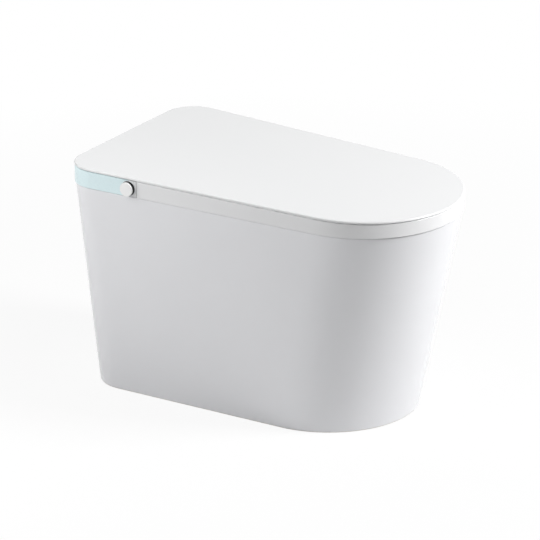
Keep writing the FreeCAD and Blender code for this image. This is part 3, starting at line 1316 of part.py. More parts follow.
node("supply_hose", pipe("supply", (("inlet_x + hose_side", "valve_front", HOSE_Z),
                                    ("inlet_x + hose_side", "hose_lane", HOSE_Z),
                                    (TANK_MIDDLE_X, "hose_lane", HOSE_Z),
                                    (TANK_MIDDLE_X, "tank_front", HOSE_Z)), "hose_radius", "hose_bend"))
HOT_Z = f"{PUMP_Z} + pump_radius + hot_hose_rise"
node("hot_water_hose", pipe("hot", (("-tank_left", "hot_hose_y", HOT_Z), ("-pump_x", "hot_hose_y", HOT_Z),
                                    ("-pump_x", "hot_hose_y", f"{PUMP_Z} + pump_radius")),
                            "hose_radius", "hose_bend"))
node("spray_hose", rod("spray", "y", "hose_radius", ("pump_rear", "diverter_front"), ("-pump_x", HOSE_Z)))
FLUSH_TOP = f"{TUB_FLOOR} + flush_height"
FLUSH_Y = "(flush_front + flush_rear) / 2"
node("flush_valve", block("flush_valve_body",
                          ("-flush_x - flush_valve_half", "-flush_x + flush_valve_half"),
                          ("flush_front", "flush_rear"), (TUB_FLOOR, FLUSH_TOP)))
SPOUT_POINTS = (("-flush_x", FLUSH_Y, FLUSH_TOP), ("-flush_x", FLUSH_Y, SPOUT_Z),
                ("-flush_x", "spout_end", SPOUT_Z))
node("flush_spout", cut("spout", pipe("spout_outside", SPOUT_POINTS, "spout_radius", "spout_bend"),
                        pipe("spout_inside", SPOUT_POINTS, "spout_bore", "spout_bend")))

# Electrics: control board on four posts, power box, and the gland where the mains lead enters
node("control_board", block("board", ("-board_left", "board_right"), BOARD_Y,
                            (BOARD_LOW, f"{BOARD_LOW} + board_height")))
node("power_box", block("power_case", ("power_left", "power_right"), ("power_front", "power_rear"),
                        (TUB_FLOOR, f"{TUB_FLOOR} + power_height")))
GLAND_AT = ("-gland_x", GLAND_Z)
GLAND_FRONT = "tub_rear - tub_wall - gland_lip"
node("cord_gland", cut(
    "gland", fuse("gland_mass",
                  rod("gland_sleeve", "y", "gland_radius", (GLAND_FRONT, "gland_end"), GLAND_AT),
                  rod("gland_lip_ring", "y", "gland_flange", (GLAND_FRONT, "tub_rear - tub_wall"),
                      GLAND_AT)),
    rod("gland_bore", "y", "gland_bore", (f"{GLAND_FRONT} - overcut", "gland_end + overcut"), GLAND_AT)))

# Every object is sound before anything is written
document.recompute()
faults = []
for thing in document.Objects:
    if {"Invalid", "Error"} & set(thing.State):
        faults.append(f"{thing.Name}: {thing.State}")
for thing in NODES:
    if thing.Shape.isNull() or not thing.Shape.isValid() or not thing.Shape.Solids:
        faults.append(f"{thing.Label}: no sound solid")
if faults:
    raise SystemExit("\n".join(faults))
os.makedirs("parts", exist_ok=True)
for thing in NODES:
    thing.Shape.exportStep(f"parts/{thing.Label}.step")
    print(thing.Label, len(thing.Shape.Solids), round(thing.Shape.Volume / 1000, 2))
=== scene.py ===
import math

import bpy
from mathutils import Matrix, Vector


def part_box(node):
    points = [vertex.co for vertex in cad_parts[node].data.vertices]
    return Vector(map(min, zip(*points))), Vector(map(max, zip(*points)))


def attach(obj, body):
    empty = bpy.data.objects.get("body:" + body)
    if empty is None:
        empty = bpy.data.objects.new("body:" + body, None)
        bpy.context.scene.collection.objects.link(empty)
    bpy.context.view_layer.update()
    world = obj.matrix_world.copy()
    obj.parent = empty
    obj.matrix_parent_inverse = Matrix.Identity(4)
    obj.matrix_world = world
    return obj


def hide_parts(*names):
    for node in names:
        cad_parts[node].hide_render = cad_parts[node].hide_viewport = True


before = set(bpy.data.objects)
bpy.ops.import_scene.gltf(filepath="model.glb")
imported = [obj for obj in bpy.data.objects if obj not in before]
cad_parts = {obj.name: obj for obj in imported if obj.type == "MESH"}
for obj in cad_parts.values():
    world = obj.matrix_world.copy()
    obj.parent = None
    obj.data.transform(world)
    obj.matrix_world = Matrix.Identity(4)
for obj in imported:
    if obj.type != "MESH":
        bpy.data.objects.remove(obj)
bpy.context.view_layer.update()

# Ceramic skirt, deck, bowl and trap: vitreous china, slip-cast in parts, stuck together and fired with one
# glaze. The glaze is a cool white with a faint ripple that softens its reflections. It stops just above the
# floor, where the foot was wiped bare for firing. The skirt carries everything else on its deck.
def linked(tree, kind, values=None, **settings):
    """Adds a node, with its settings, and sets or links its inputs."""
    node = tree.nodes.new(kind)
    for key, value in settings.items():
        setattr(node, key, value)
    for key, value in (values or {}).items():
        if isinstance(value, bpy.types.NodeSocket):
            tree.links.new(value, node.inputs[key])
        else:
            node.inputs[key].default_value = value
    return node


def moulded(name, pale, deep, cloud, grain, rough, ripple, **surface):
    """A finish with clouded colour, uneven gloss and a fine surface, from noise in the piece's own space."""
    finish = bpy.data.materials.new(name)
    finish.use_nodes = True
    tree = finish.node_tree
    shader = tree.nodes["Principled BSDF"]
    place = linked(tree, "ShaderNodeTexCoord").outputs["Object"]
    clouds = linked(tree, "ShaderNodeTexNoise", {"Vector": place, "Scale": cloud, "Detail": 4.0,
                                                 "Roughness": 0.6})
    colour = linked(tree, "ShaderNodeMix", {"Factor": clouds.outputs["Fac"], 6: (*deep, 1), 7: (*pale, 1)},
                    data_type="RGBA")
    tree.links.new(colour.outputs[2], shader.inputs["Base Color"])
    fine = linked(tree, "ShaderNodeTexNoise", {"Vector": place, "Scale": grain, "Detail": 2.0})
    gloss = linked(tree, "ShaderNodeMapRange", {"Value": fine.outputs["Fac"], "From Min": 0.3,
                                                "From Max": 0.7, "To Min": rough[0], "To Max": rough[1]})
    tree.links.new(gloss.outputs["Result"], shader.inputs["Roughness"])
    relief = linked(tree, "ShaderNodeBump", {"Height": fine.outputs["Fac"], "Strength": ripple[0],
                                             "Distance": ripple[1]})
    tree.links.new(relief.outputs["Normal"], shader.inputs["Normal"])
    for key, value in surface.items():
        shader.inputs[key.replace("_", " ")].default_value = value
    return finish


def dressed(finish, *nodes):
    for node in nodes:
        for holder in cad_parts[node].material_slots:
            holder.material = finish


GLAZE_PALE = (0.862, 0.865, 0.886)
GLAZE_DEEP = (0.822, 0.825, 0.846)
glaze = moulded("glaze", GLAZE_PALE, GLAZE_DEEP, cloud=5.0, grain=60.0,
                rough=(0.05, 0.11), ripple=(0.05, 0.001), IOR=1.6)
FOOT_TOP_EDGE = 0.0022
FOOT_BLEND = 0.8
BARE_CLAY = (0.70, 0.67, 0.62)
BARE_ROUGH = 0.75
coat = glaze.node_tree
place = linked(coat, "ShaderNodeTexCoord").outputs["Object"]
height = linked(coat, "ShaderNodeSeparateXYZ", {0: place}).outputs["Z"]
bare = linked(coat, "ShaderNodeMapRange", {"Value": height, "From Min": FOOT_TOP_EDGE,
                                           "From Max": FOOT_TOP_EDGE * FOOT_BLEND})
china = coat.nodes["Principled BSDF"].inputs
glazed_colour = china["Base Color"].links[0].from_socket
glazed_gloss = china["Roughness"].links[0].from_socket
foot_colour = linked(coat, "ShaderNodeMix", {"Factor": bare.outputs[0], 6: glazed_colour, 7: (*BARE_CLAY, 1)},
                     data_type="RGBA")
foot_gloss = linked(coat, "ShaderNodeMix", {"Factor": bare.outputs[0], 2: glazed_gloss, 3: BARE_ROUGH})
coat.links.new(foot_colour.outputs[2], china["Base Color"])
coat.links.new(foot_gloss.outputs[0], china["Roughness"])
dressed(glaze, "ceramic_skirt", "ceramic_deck", "ceramic_bowl", "ceramic_trap")

# Outlet gasket: a ring of grey rubber, moulded in one piece.
# It is pressed between the outlet's collar and the floor flange when the toilet is set down.
GASKET_GREY = (0.11, 0.11, 0.115)
GASKET_DUSTY = (0.15, 0.15, 0.15)
rubber = moulded("grey_rubber", GASKET_DUSTY, GASKET_GREY, cloud=30.0, grain=900.0,
                 rough=(0.6, 0.8), ripple=(0.2, 0.0003))
dressed(rubber, "outlet_gasket")

# Floor brackets: two angles of grey nylon with glass fibre, moulded.
# They are bolted to the floor inside the skirt, and one screw in each holds a lug of the skirt.
BRACKET_PALE = (0.36, 0.37, 0.38)
BRACKET_DEEP = (0.31, 0.32, 0.33)
grey_nylon = moulded("grey_nylon", BRACKET_PALE, BRACKET_DEEP, cloud=25.0, grain=1500.0,
                     rough=(0.4, 0.55), ripple=(0.15, 0.0002))
dressed(grey_nylon, "floor_brackets")

# Chassis: a base plate of grey polymer, moulded, on the deck, with a deep tub and a rear panel welded to it
# in the bay. It holds the wash unit, and it is finely grained so that scratches don't show.
dressed(grey_nylon, "chassis", "wash_tub", "rear_panel")

# Screws: stainless steel pan heads with a cross recess, cold headed, with a rolled thread. Two hold the floor
# brackets in the skirt's lugs, and eight hold the base plate and the hinge brackets on the deck.
STEEL_PALE = (0.58, 0.58, 0.59)
STEEL_DEEP = (0.48, 0.48, 0.5)
steel = moulded("stainless_steel", STEEL_PALE, STEEL_DEEP, cloud=200.0, grain=1200.0,
                rough=(0.22, 0.35), ripple=(0.1, 0.0002), Metallic=1.0)


def tree_of_sizes(name, *sizes):
    """An empty tree for a repeated piece: points in, a size for each name, a finish, and the pieces out."""
    tree = bpy.data.node_groups.new(name, "GeometryNodeTree")
    tree.interface.new_socket("Places", in_out="INPUT", socket_type="NodeSocketGeometry")
    for size in sizes:
        tree.interface.new_socket(size, in_out="INPUT", socket_type="NodeSocketFloat")
    tree.interface.new_socket("Finish", in_out="INPUT", socket_type="NodeSocketMaterial")
    tree.interface.new_socket("Pieces", in_out="OUTPUT", socket_type="NodeSocketGeometry")
    return tree, tree.nodes.new("NodeGroupInput").outputs


def worked(tree, operation, *values):
    return linked(tree, "ShaderNodeMath", dict(enumerate(values)), operation=operation).outputs[0]


def crowned(tree, radius, height, corners, fall):
    """A round head that stands on z = 0 and narrows towards its top, by fall of the square of its radius."""
    blank = linked(tree, "GeometryNodeMeshCylinder", {"Vertices": corners, "Side Segments": 8,
                                                      "Fill Segments": 3, "Radius": radius,
                                                      "Depth": height}).outputs["Mesh"]
    point = linked(tree, "GeometryNodeInputPosition").outputs[0]
    spot = linked(tree, "ShaderNodeSeparateXYZ", {0: point}).outputs
    share = worked(tree, "ADD", worked(tree, "DIVIDE", spot["Z"], height), 0.5)
    left = worked(tree, "SUBTRACT", 1.0, worked(tree, "MULTIPLY", fall, worked(tree, "POWER", share, 4.0)))
    narrow = worked(tree, "SQRT", left)
    place = linked(tree, "ShaderNodeCombineXYZ", {"X": worked(tree, "MULTIPLY", spot["X"], narrow),
                                                  "Y": worked(tree, "MULTIPLY", spot["Y"], narrow),
                                                  "Z": worked(tree, "MULTIPLY", share, height)}).outputs[0]
    return linked(tree, "GeometryNodeSetPosition", {"Geometry": blank, "Position": place}).outputs[0]


def set_out(tree, given, piece):
    """Puts the piece on every point, along the point's axis, as plain mesh with its finish."""
    axis = linked(tree, "GeometryNodeInputNamedAttribute", {"Name": "axis"}, data_type="FLOAT_VECTOR")
    turn = linked(tree, "FunctionNodeAlignRotationToVector", {"Vector": axis.outputs["Attribute"]}, axis="Z")
    copies = linked(tree, "GeometryNodeInstanceOnPoints", {"Points": given["Places"], "Instance": piece,
                                                           "Rotation": turn.outputs[0]})
    plain = linked(tree, "GeometryNodeRealizeInstances", {0: copies.outputs[0]}).outputs[0]
    done = linked(tree, "GeometryNodeSetMaterial", {"Geometry": plain, "Material": given["Finish"]})
    linked(tree, "NodeGroupOutput", {0: done.outputs[0]})


SHARP_FROM = math.radians(35)


def repeated(name, tree, places, axes, finish, sizes):
    """One plain mesh of all the copies that the tree sets out on these places."""
    points = bpy.data.meshes.new(name + "_places")
    points.from_pydata(places, [], [])
    along = points.attributes.new("axis", "FLOAT_VECTOR", "POINT")
    for spot, axis in zip(along.data, axes):
        spot.vector = axis
    holder = bpy.data.objects.new(name + "_places", points)
    bpy.context.scene.collection.objects.link(holder)
    grown = holder.modifiers.new(name, "NODES")
    grown.node_group = tree
    inputs = {item.name: item.identifier for item in tree.interface.items_tree if item.in_out == "INPUT"}
    for size, value in sizes.items():
        grown[inputs[size]] = value
    grown[inputs["Finish"]] = finish
    ready = holder.evaluated_get(bpy.context.evaluated_depsgraph_get())
    mesh = bpy.data.meshes.new_from_object(ready)
    bpy.data.objects.remove(holder)
    mesh.name = name
    mesh.shade_smooth()
    mesh.set_sharp_from_angle(angle=SHARP_FROM)
    piece = bpy.data.objects.new(name, mesh)
    bpy.context.scene.collection.objects.link(piece)
    return piece


RECESS_LENGTH_SHARE = 1.05
RECESS_WIDTH_SHARE = 0.2
GROOVE_SHARE = 0.5
RIDGE_SHARE = 0.3
THREADED_SHARE = 0.9
THREAD_END_SHARE = 0.95
SORT_WAY = (1.0, 1.731, 2.917)
screw_tree, given = tree_of_sizes("cross_head_screws", "Head Radius", "Head Height", "Shank Radius",
                                  "Shank Length", "Pitch")
recessed = crowned(screw_tree, given["Head Radius"], given["Head Height"], corners=40, fall=0.55)
arm_long = worked(screw_tree, "MULTIPLY", given["Head Radius"], RECESS_LENGTH_SHARE)
arm_wide = worked(screw_tree, "MULTIPLY", given["Head Radius"], RECESS_WIDTH_SHARE)
lift = linked(screw_tree, "ShaderNodeCombineXYZ", {"Z": given["Head Height"]}).outputs[0]
for across, along in ((arm_long, arm_wide), (arm_wide, arm_long)):
    size = linked(screw_tree, "ShaderNodeCombineXYZ", {"X": across, "Y": along, "Z": given["Head Height"]})
    bar = linked(screw_tree, "GeometryNodeMeshCube", {"Size": size.outputs[0]}).outputs["Mesh"]
    arm = linked(screw_tree, "GeometryNodeTransform", {"Geometry": bar, "Translation": lift}).outputs[0]
    carved = linked(screw_tree, "GeometryNodeMeshBoolean", {0: recessed, 1: arm}, operation="DIFFERENCE")
    recessed = carved.outputs[0]
# The cut leaves its new corners in a chance order, so they are put in one that every run repeats.
spot = linked(screw_tree, "GeometryNodeInputPosition").outputs[0]
rank = linked(screw_tree, "ShaderNodeVectorMath", {0: spot, 1: SORT_WAY}, operation="DOT_PRODUCT")
head = linked(screw_tree, "GeometryNodeSortElements", {"Geometry": recessed,
                                                       "Sort Weight": rank.outputs["Value"]})
core = linked(screw_tree, "GeometryNodeMeshCylinder", {
    "Vertices": 24, "Depth": given["Shank Length"],
    "Radius": worked(screw_tree, "SUBTRACT", given["Shank Radius"],
                     worked(screw_tree, "MULTIPLY", given["Pitch"], GROOVE_SHARE))}).outputs["Mesh"]
down = linked(screw_tree, "ShaderNodeCombineXYZ", {
    "Z": worked(screw_tree, "MULTIPLY", given["Shank Length"], -0.5)}).outputs[0]
shank = linked(screw_tree, "GeometryNodeTransform", {"Geometry": core, "Translation": down}).outputs[0]
ridge_half = worked(screw_tree, "MULTIPLY", given["Pitch"], RIDGE_SHARE)
wind_radius = worked(screw_tree, "SUBTRACT", given["Shank Radius"], ridge_half)
spiral = linked(screw_tree, "GeometryNodeCurveSpiral", {
    "Resolution": 24, "Rotations": worked(screw_tree, "DIVIDE", given["Shank Length"], given["Pitch"]),
    "Start Radius": wind_radius, "End Radius": wind_radius,
    "Height": worked(screw_tree, "MULTIPLY", given["Shank Length"], THREADED_SHARE)}).outputs[0]
ridge = linked(screw_tree, "GeometryNodeCurvePrimitiveCircle",
               {"Resolution": 4, "Radius": ridge_half}).outputs[0]
thread = linked(screw_tree, "GeometryNodeCurveToMesh", {0: spiral, 1: ridge, "Fill Caps": True}).outputs[0]
sunk = linked(screw_tree, "ShaderNodeCombineXYZ", {
    "Z": worked(screw_tree, "MULTIPLY", given["Shank Length"], -THREAD_END_SHARE)}).outputs[0]
thread = linked(screw_tree, "GeometryNodeTransform", {"Geometry": thread, "Translation": sunk}).outputs[0]
whole_screw = linked(screw_tree, "GeometryNodeJoinGeometry")
for portion in (thread, shank, head.outputs[0]):
    screw_tree.links.new(portion, whole_screw.inputs[0])
set_out(screw_tree, given, whole_screw.outputs[0])

SCREW_HEAD = 0.005
SCREW_RISE = 0.0025
PLATE_SCREW_SIDE = 0.106
PLATE_SCREW_ROWS = (0.110, 0.280)
HINGE_FOOT = 0.003
FOOT_SCREW_SIDES = (0.076, 0.1245)
FOOT_SCREW_ROW = 0.304
DECK_SCREW = {"Head Radius": SCREW_HEAD, "Head Height": SCREW_RISE, "Shank Radius": 0.0025, "Pitch": 0.0011}
plate_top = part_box("chassis")[1][2]
foot_top = plate_top + HINGE_FOOT
plate_places = [(side * PLATE_SCREW_SIDE, row, plate_top) for side in (-1, 1) for row in PLATE_SCREW_ROWS]
foot_places = [(side * across, FOOT_SCREW_ROW, foot_top) for side in (-1, 1) for across in FOOT_SCREW_SIDES]
plate_screws = repeated("plate_screws", screw_tree, plate_places, [(0, 0, 1)] * 4, steel,
                        {**DECK_SCREW, "Shank Length": 0.011})
foot_screws = repeated("hinge_foot_screws", screw_tree, foot_places, [(0, 0, 1)] * 4, steel,
                       {**DECK_SCREW, "Shank Length": 0.014})
BRACKET_WALL = 0.006
bracket_low, bracket_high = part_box("floor_brackets")
bracket_face = bracket_high[0] - BRACKET_WALL
bracket_middle = ((bracket_low[1] + bracket_high[1]) / 2, (bracket_low[2] + bracket_high[2]) / 2)
bracket_places = [(side * bracket_face, *bracket_middle) for side in (-1, 1)]
wall_screws = repeated("bracket_wall_screws", screw_tree, bracket_places, [(1, 0, 0), (-1, 0, 0)], steel,
                       {"Head Radius": SCREW_HEAD, "Head Height": SCREW_RISE, "Shank Radius": 0.003,
                        "Shank Length": 0.020, "Pitch": 0.0013})
for screws in (plate_screws, foot_screws, wall_screws):
    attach(screws, "toilet")
    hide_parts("screws")

# Rear cover and side pods: white polymer, moulded with a polished face, clipped on the chassis.
# The pods close the band beside the seat's apron, and the right one carries the knob.
HOUSING_PALE = (0.872, 0.874, 0.882)
HOUSING_DEEP = (0.847, 0.849, 0.857)
housing = moulded("housing_white", HOUSING_PALE, HOUSING_DEEP, cloud=8.0, grain=700.0,
                  rough=(0.22, 0.3), ripple=(0.06, 0.0002))
dressed(housing, "rear_cover", "side_pod_left", "side_pod_right")

# Side trims: pale blue polymer, moulded with a satin face.
# They wrap round the rear corners and are pressed on the pods.
TRIM_PALE = (0.785, 0.935, 0.96)
TRIM_DEEP = (0.755, 0.91, 0.94)
trim_blue = moulded("pale_blue_trim", TRIM_PALE, TRIM_DEEP, cloud=10.0, grain=900.0,
                    rough=(0.24, 0.34), ripple=(0.06, 0.0002))
dressed(trim_blue, "trim_left", "trim_right")

# Hinge: grey nylon brackets, screwed to the deck, with steel pins on which lid and seat turn.
# Two black oil dampers on the pins let both come down slowly.
BLACK_PALE = (0.03, 0.03, 0.032)
BLACK_DEEP = (0.02, 0.02, 0.021)
black = moulded("black_plastic", BLACK_PALE, BLACK_DEEP, cloud=20.0, grain=1200.0,
                rough=(0.4, 0.55), ripple=(0.15, 0.0002))
dressed(grey_nylon, "hinge_brackets")
dressed(steel, "hinge_pins")
dressed(black, "hinge_dampers")

# Lid: a thin plate of white polymer, moulded and polished, on two lugs that turn on the hinge pins.
# Four small pads of soft rubber keep it off the seat.
LID_PALE = (0.86, 0.865, 0.87)
LID_DEEP = (0.835, 0.84, 0.845)
lid_white = moulded("lid_white", LID_PALE, LID_DEEP, cloud=4.0, grain=500.0,
                    rough=(0.16, 0.24), ripple=(0.04, 0.0002))
dressed(lid_white, "lid")
pad_tree, given = tree_of_sizes("rubber_pads", "Radius", "Height")
set_out(pad_tree, given, crowned(pad_tree, given["Radius"], given["Height"], corners=48, fall=0.3))
LID_SLOPE = 0.009
PAD_RADIUS = 0.005
PAD_HEIGHT = 0.0011


def four_spots(node, radius, slope):
    """The middles of four round pads' upper faces, from the box round them, under a piece that slopes."""
    low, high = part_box(node)
    spots = []
    for side in (low[0] + radius, high[0] - radius):
        for row in (low[1] + radius, high[1] - radius):
            spots.append((side, row, high[2] - slope * (high[1] - row)))
    return spots


lid_pads = repeated("lid_pads", pad_tree, four_spots("lid_bumpers", PAD_RADIUS, LID_SLOPE),
                    [(0, LID_SLOPE, -1)] * 4, rubber, {"Radius": PAD_RADIUS, "Height": PAD_HEIGHT})
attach(lid_pads, "lid")
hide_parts("lid_bumpers")

# Seat: a shell of white polymer with a plate welded into its underside, and a heating foil between the two.
# Four bumpers of grey rubber stand on the rim.
SEAT_PALE = (0.872, 0.874, 0.882)
SEAT_DEEP = (0.847, 0.849, 0.857)
FOIL_PALE = (0.75, 0.75, 0.76)
FOIL_DEEP = (0.6, 0.6, 0.62)
seat_white = moulded("seat_white", SEAT_PALE, SEAT_DEEP, cloud=6.0, grain=500.0,
                     rough=(0.18, 0.26), ripple=(0.04, 0.0002))
foil = moulded("heater_foil", FOIL_PALE, FOIL_DEEP, cloud=90.0, grain=300.0,
               rough=(0.25, 0.45), ripple=(0.3, 0.0005), Metallic=1.0)
dressed(seat_white, "seat_upper", "seat_lower")
dressed(foil, "seat_heater")
BUMPER_RADIUS = 0.008
bumper_low, bumper_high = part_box("seat_bumpers")
seat_pads = repeated("seat_pads", pad_tree, four_spots("seat_bumpers", BUMPER_RADIUS, 0), [(0, 0, -1)] * 4,
                     rubber, {"Radius": BUMPER_RADIUS, "Height": bumper_high[2] - bumper_low[2]})
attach(seat_pads, "seat")
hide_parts("seat_bumpers")

# Knob: a white cap on a ring, in a thin bright bezel on the right pod. The ring's near-black colour is
# painted:
# it is a painted reflection of a dark surround in its plated side. All three are turned forms with eased
# edges.
# The ring turns on a steel shaft that slides in the encoder, and the bezel is glued.
KNOB_PALE = (0.97, 0.97, 0.97)
KNOB_DEEP = (0.95, 0.95, 0.95)
CHROME_PALE = (0.80, 0.81, 0.83)
CHROME_DEEP = (0.72, 0.73, 0.75)
# Painted reflection: the ring's base colour is near-black to stand in for a dark reflection in plated metal,
# and its low IOR keeps the white surround out of its gloss.
PAINTED_REFLECTION_PALE = (0.022, 0.022, 0.024)
PAINTED_REFLECTION_DEEP = (0.014, 0.014, 0.015)
knob_white = moulded("knob_white", KNOB_PALE, KNOB_DEEP, cloud=40.0, grain=1500.0,
                     rough=(0.15, 0.22), ripple=(0.04, 0.0001))
chrome = moulded("knob_chrome", CHROME_PALE, CHROME_DEEP, cloud=60.0, grain=900.0,
                 rough=(0.05, 0.1), ripple=(0.02, 0.0001), Metallic=1.0)
painted_reflection_finish = moulded("painted_dark_reflection", PAINTED_REFLECTION_PALE, PAINTED_REFLECTION_DEEP, cloud=60.0, grain=900.0,
                     rough=(0.1, 0.18), ripple=(0.02, 0.0001), IOR=1.25)


def eased(corners, steps=7):
    """An outline's points with its corners rounded: each corner is two places and a radius, 0 if sharp."""
    points = []
    for index, (along, out, radius) in enumerate(corners):
        here = Vector((along, out))
        if not radius:
            points.append(here)
            continue
        before = (Vector(corners[index - 1][:2]) - here).normalized()
        after = (Vector(corners[(index + 1) % len(corners)][:2]) - here).normalized()
        half = before.angle(after) / 2
        middle = here + (before + after).normalized() * radius / math.sin(half)
        start = (here + before * radius / math.tan(half) - middle).normalized()
        end = (here + after * radius / math.tan(half) - middle).normalized()
        for step in range(steps + 1):
            points.append(middle + start.slerp(end, step / steps) * radius)
    return points


LATHE_STEPS = 96


def turned(name, outline, axis, across, finish, body, closed=False):
    """A piece turned on a lathe along x or y: the outline's points are places along the axis and radii."""
    # The faces look outward when the outline has the piece on its left.
    if sum(here.cross(there) for here, there in zip(outline, outline[1:] + outline[:1])) < 0:
        outline = outline[::-1]
    points = []
    rings = []
    for along, out in outline:
        ring = range(len(points), len(points) + (LATHE_STEPS if out else 1))
        for step in range(len(ring)):
            side = out * math.cos(math.tau * step / LATHE_STEPS)
            rise = out * math.sin(math.tau * step / LATHE_STEPS)
            points.append((along, across[0] + side, across[1] + rise) if axis == "x"
                          else (across[0] + side, along, across[1] - rise))
        rings.append(ring)
    faces = []
    for ring, following in zip(rings, rings[1:] + (rings[:1] if closed else [])):
        for step in range(LATHE_STEPS):
            here, there = step % len(ring), step % len(following)
            next_here, next_there = (step + 1) % len(ring), (step + 1) % len(following)
            corners = (ring[here], following[there], following[next_there], ring[next_here])
            # A ring on the axis is a single point, and a face that ends there has three corners.
            faces.append(tuple(dict.fromkeys(corners)))
    mesh = bpy.data.meshes.new(name)
    mesh.from_pydata(points, [], faces)
    mesh.materials.append(finish)
    mesh.shade_smooth()
    mesh.set_sharp_from_angle(angle=SHARP_FROM)
    piece = bpy.data.objects.new(name, mesh)
    bpy.context.scene.collection.objects.link(piece)
    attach(piece, body)
    return piece


def round_box(node, along):
    """A round piece's two ends along x (0) or y (1), the place of its axis across, and its widest radius."""
    low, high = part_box(node)
    across = [index for index in range(3) if index != along]
    axis = [(low[index] + high[index]) / 2 for index in across]
    return low[along], high[along], axis, max(high[index] - low[index] for index in across) / 2


RING_WALL = 0.002
RING_WEB = 0.004
BEZEL_WALL = 0.0006
CAP_CROWN = 0.00025
CAP_EDGE = 0.0009
CROWN_ROUND = 0.02
GRIP_FRONT_EDGE, GRIP_BACK_EDGE = 0.0005, 0.0003
BEZEL_INNER_EDGE, BEZEL_OUTER_EDGE = 0.00025, 0.00029
cap_front, cap_back, knob_axis, cap_radius = round_box("knob_cap", 0)
cap = turned("knob_face", eased([(cap_back, 0, 0), (cap_back, cap_radius, 0),
                                 (cap_front + CAP_CROWN, cap_radius, CAP_EDGE),
                                 (cap_front, cap_radius / 2, CROWN_ROUND), (cap_front, 0, 0)]),
             "x", knob_axis, knob_white, "knob")
ring_front, ring_back, knob_axis, ring_radius = round_box("knob_ring", 0)
ring_inside = ring_radius - RING_WALL
# The ring carries the painted dark reflection, not a dark plating.
ring = turned("knob_grip", eased([(ring_front, 0, 0), (ring_front, ring_radius, GRIP_FRONT_EDGE),
                                  (ring_back, ring_radius, GRIP_BACK_EDGE), (ring_back, ring_inside, 0),
                                  (ring_front + RING_WEB, ring_inside, 0), (ring_front + RING_WEB, 0, 0)]),
              "x", knob_axis, painted_reflection_finish, "knob")
bezel_front, bezel_back, knob_axis, bezel_radius = round_box("knob_bezel", 0)
bezel_inside = bezel_radius - BEZEL_WALL
bezel = turned("knob_surround", eased([(bezel_front, bezel_inside, BEZEL_INNER_EDGE),
                                       (bezel_front, bezel_radius, BEZEL_OUTER_EDGE),
                                       (bezel_back, bezel_radius, 0), (bezel_back, bezel_inside, 0)]),
               "x", knob_axis, chrome, "toilet", closed=True)
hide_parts("knob_cap")
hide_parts("knob_ring")
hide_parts("knob_bezel")
dressed(steel, "knob_shaft")
dressed(black, "knob_encoder")

# Wash unit: two wands of white polymer in a sloping guide, each with a rack and a screwed-on spray tip.
# Nylon pinions on two small motors slide them forward into the bowl.
WASH_PALE = (0.74, 0.74, 0.73)
WASH_DEEP = (0.70, 0.70, 0.685)
NYLON_PALE = (0.74, 0.70, 0.58)
NYLON_DEEP = (0.69, 0.65, 0.53)
ZINC_PALE = (0.46, 0.46, 0.48)
ZINC_DEEP = (0.36, 0.36, 0.38)
wash_white = moulded("wash_white", WASH_PALE, WASH_DEEP, cloud=20.0, grain=900.0,
                     rough=(0.35, 0.45), ripple=(0.08, 0.0002))
nylon = moulded("gear_nylon", NYLON_PALE, NYLON_DEEP, cloud=60.0, grain=900.0,
                rough=(0.4, 0.5), ripple=(0.08, 0.0002))
zinc = moulded("zinc_plate", ZINC_PALE, ZINC_DEEP, cloud=120.0, grain=700.0,
               rough=(0.3, 0.45), ripple=(0.1, 0.0002), Metallic=1.0)
dressed(wash_white, "nozzle_guide", "rear_nozzle", "front_nozzle", "rear_nozzle_tip", "front_nozzle_tip")
dressed(nylon, "rear_pinion", "front_pinion")
dressed(zinc, "nozzle_motors")

# Dryer: a centrifugal fan in a black moulded scroll with its motor below, and a white duct with a heating
# foil. A light flap at the duct's mouth is hinged, and the air pushes it open.
dressed(black, "fan_housing", "fan_cover", "fan_impeller")
dressed(zinc, "fan_motor")
dressed(wash_white, "dryer_duct", "dryer_flap")
dressed(foil, "dryer_heater")

# Water: an inlet nipple and valves of machined brass, and a heater tank of white polymer with a steel
# element. Pump, diverter and flush spout are of the same polymer. Silicone hoses join valve, tank, pump and
# diverter.
BRASS_PALE = (0.66, 0.48, 0.22)
BRASS_DEEP = (0.55, 0.39, 0.17)
HOSE_PALE = (0.68, 0.68, 0.65)
HOSE_DEEP = (0.62, 0.62, 0.59)
brass = moulded("brass", BRASS_PALE, BRASS_DEEP, cloud=80.0, grain=900.0,
                rough=(0.25, 0.4), ripple=(0.15, 0.0002), Metallic=1.0)
silicone = moulded("white_hose", HOSE_PALE, HOSE_DEEP, cloud=40.0, grain=900.0,
                   rough=(0.45, 0.6), ripple=(0.08, 0.0002))
dressed(brass, "inlet_valve", "flush_valve")
NIPPLE_BORE = 0.0075
NIPPLE_RADIUS = 0.013
COLLAR_FRONT, COLLAR_BACK, SHOULDER = 0.283, 0.286, 0.292
NIPPLE_EDGE, TIP_EDGE = 0.0005, 0.0006
THREAD_START, THREAD_LENGTH, THREAD_PITCH = 0.297, 0.030, 0.0018
THREAD_RADIUS, THREAD_DEPTH, THREAD_ROOT = 0.01048, 0.0007, 0.0094
nipple_front, nipple_end, nipple_axis, collar_radius = round_box("inlet_nipple", 1)
stem = turned("nipple_stem", eased([
    (nipple_front, NIPPLE_BORE, 0), (nipple_front, NIPPLE_RADIUS, NIPPLE_EDGE),
    (COLLAR_FRONT, NIPPLE_RADIUS, 0), (COLLAR_FRONT, collar_radius, NIPPLE_EDGE),
    (COLLAR_BACK, collar_radius, NIPPLE_EDGE), (COLLAR_BACK, NIPPLE_RADIUS, 0),
    (SHOULDER, NIPPLE_RADIUS, NIPPLE_EDGE), (SHOULDER, THREAD_ROOT, 0),
    (nipple_end, THREAD_ROOT, TIP_EDGE), (nipple_end, NIPPLE_BORE, NIPPLE_EDGE)]),
    "y", nipple_axis, brass, "toilet", closed=True)
thread_tree, given = tree_of_sizes("pipe_thread", "Radius", "Depth", "Length", "Pitch")
wind = worked(thread_tree, "SUBTRACT", given["Radius"], given["Depth"])
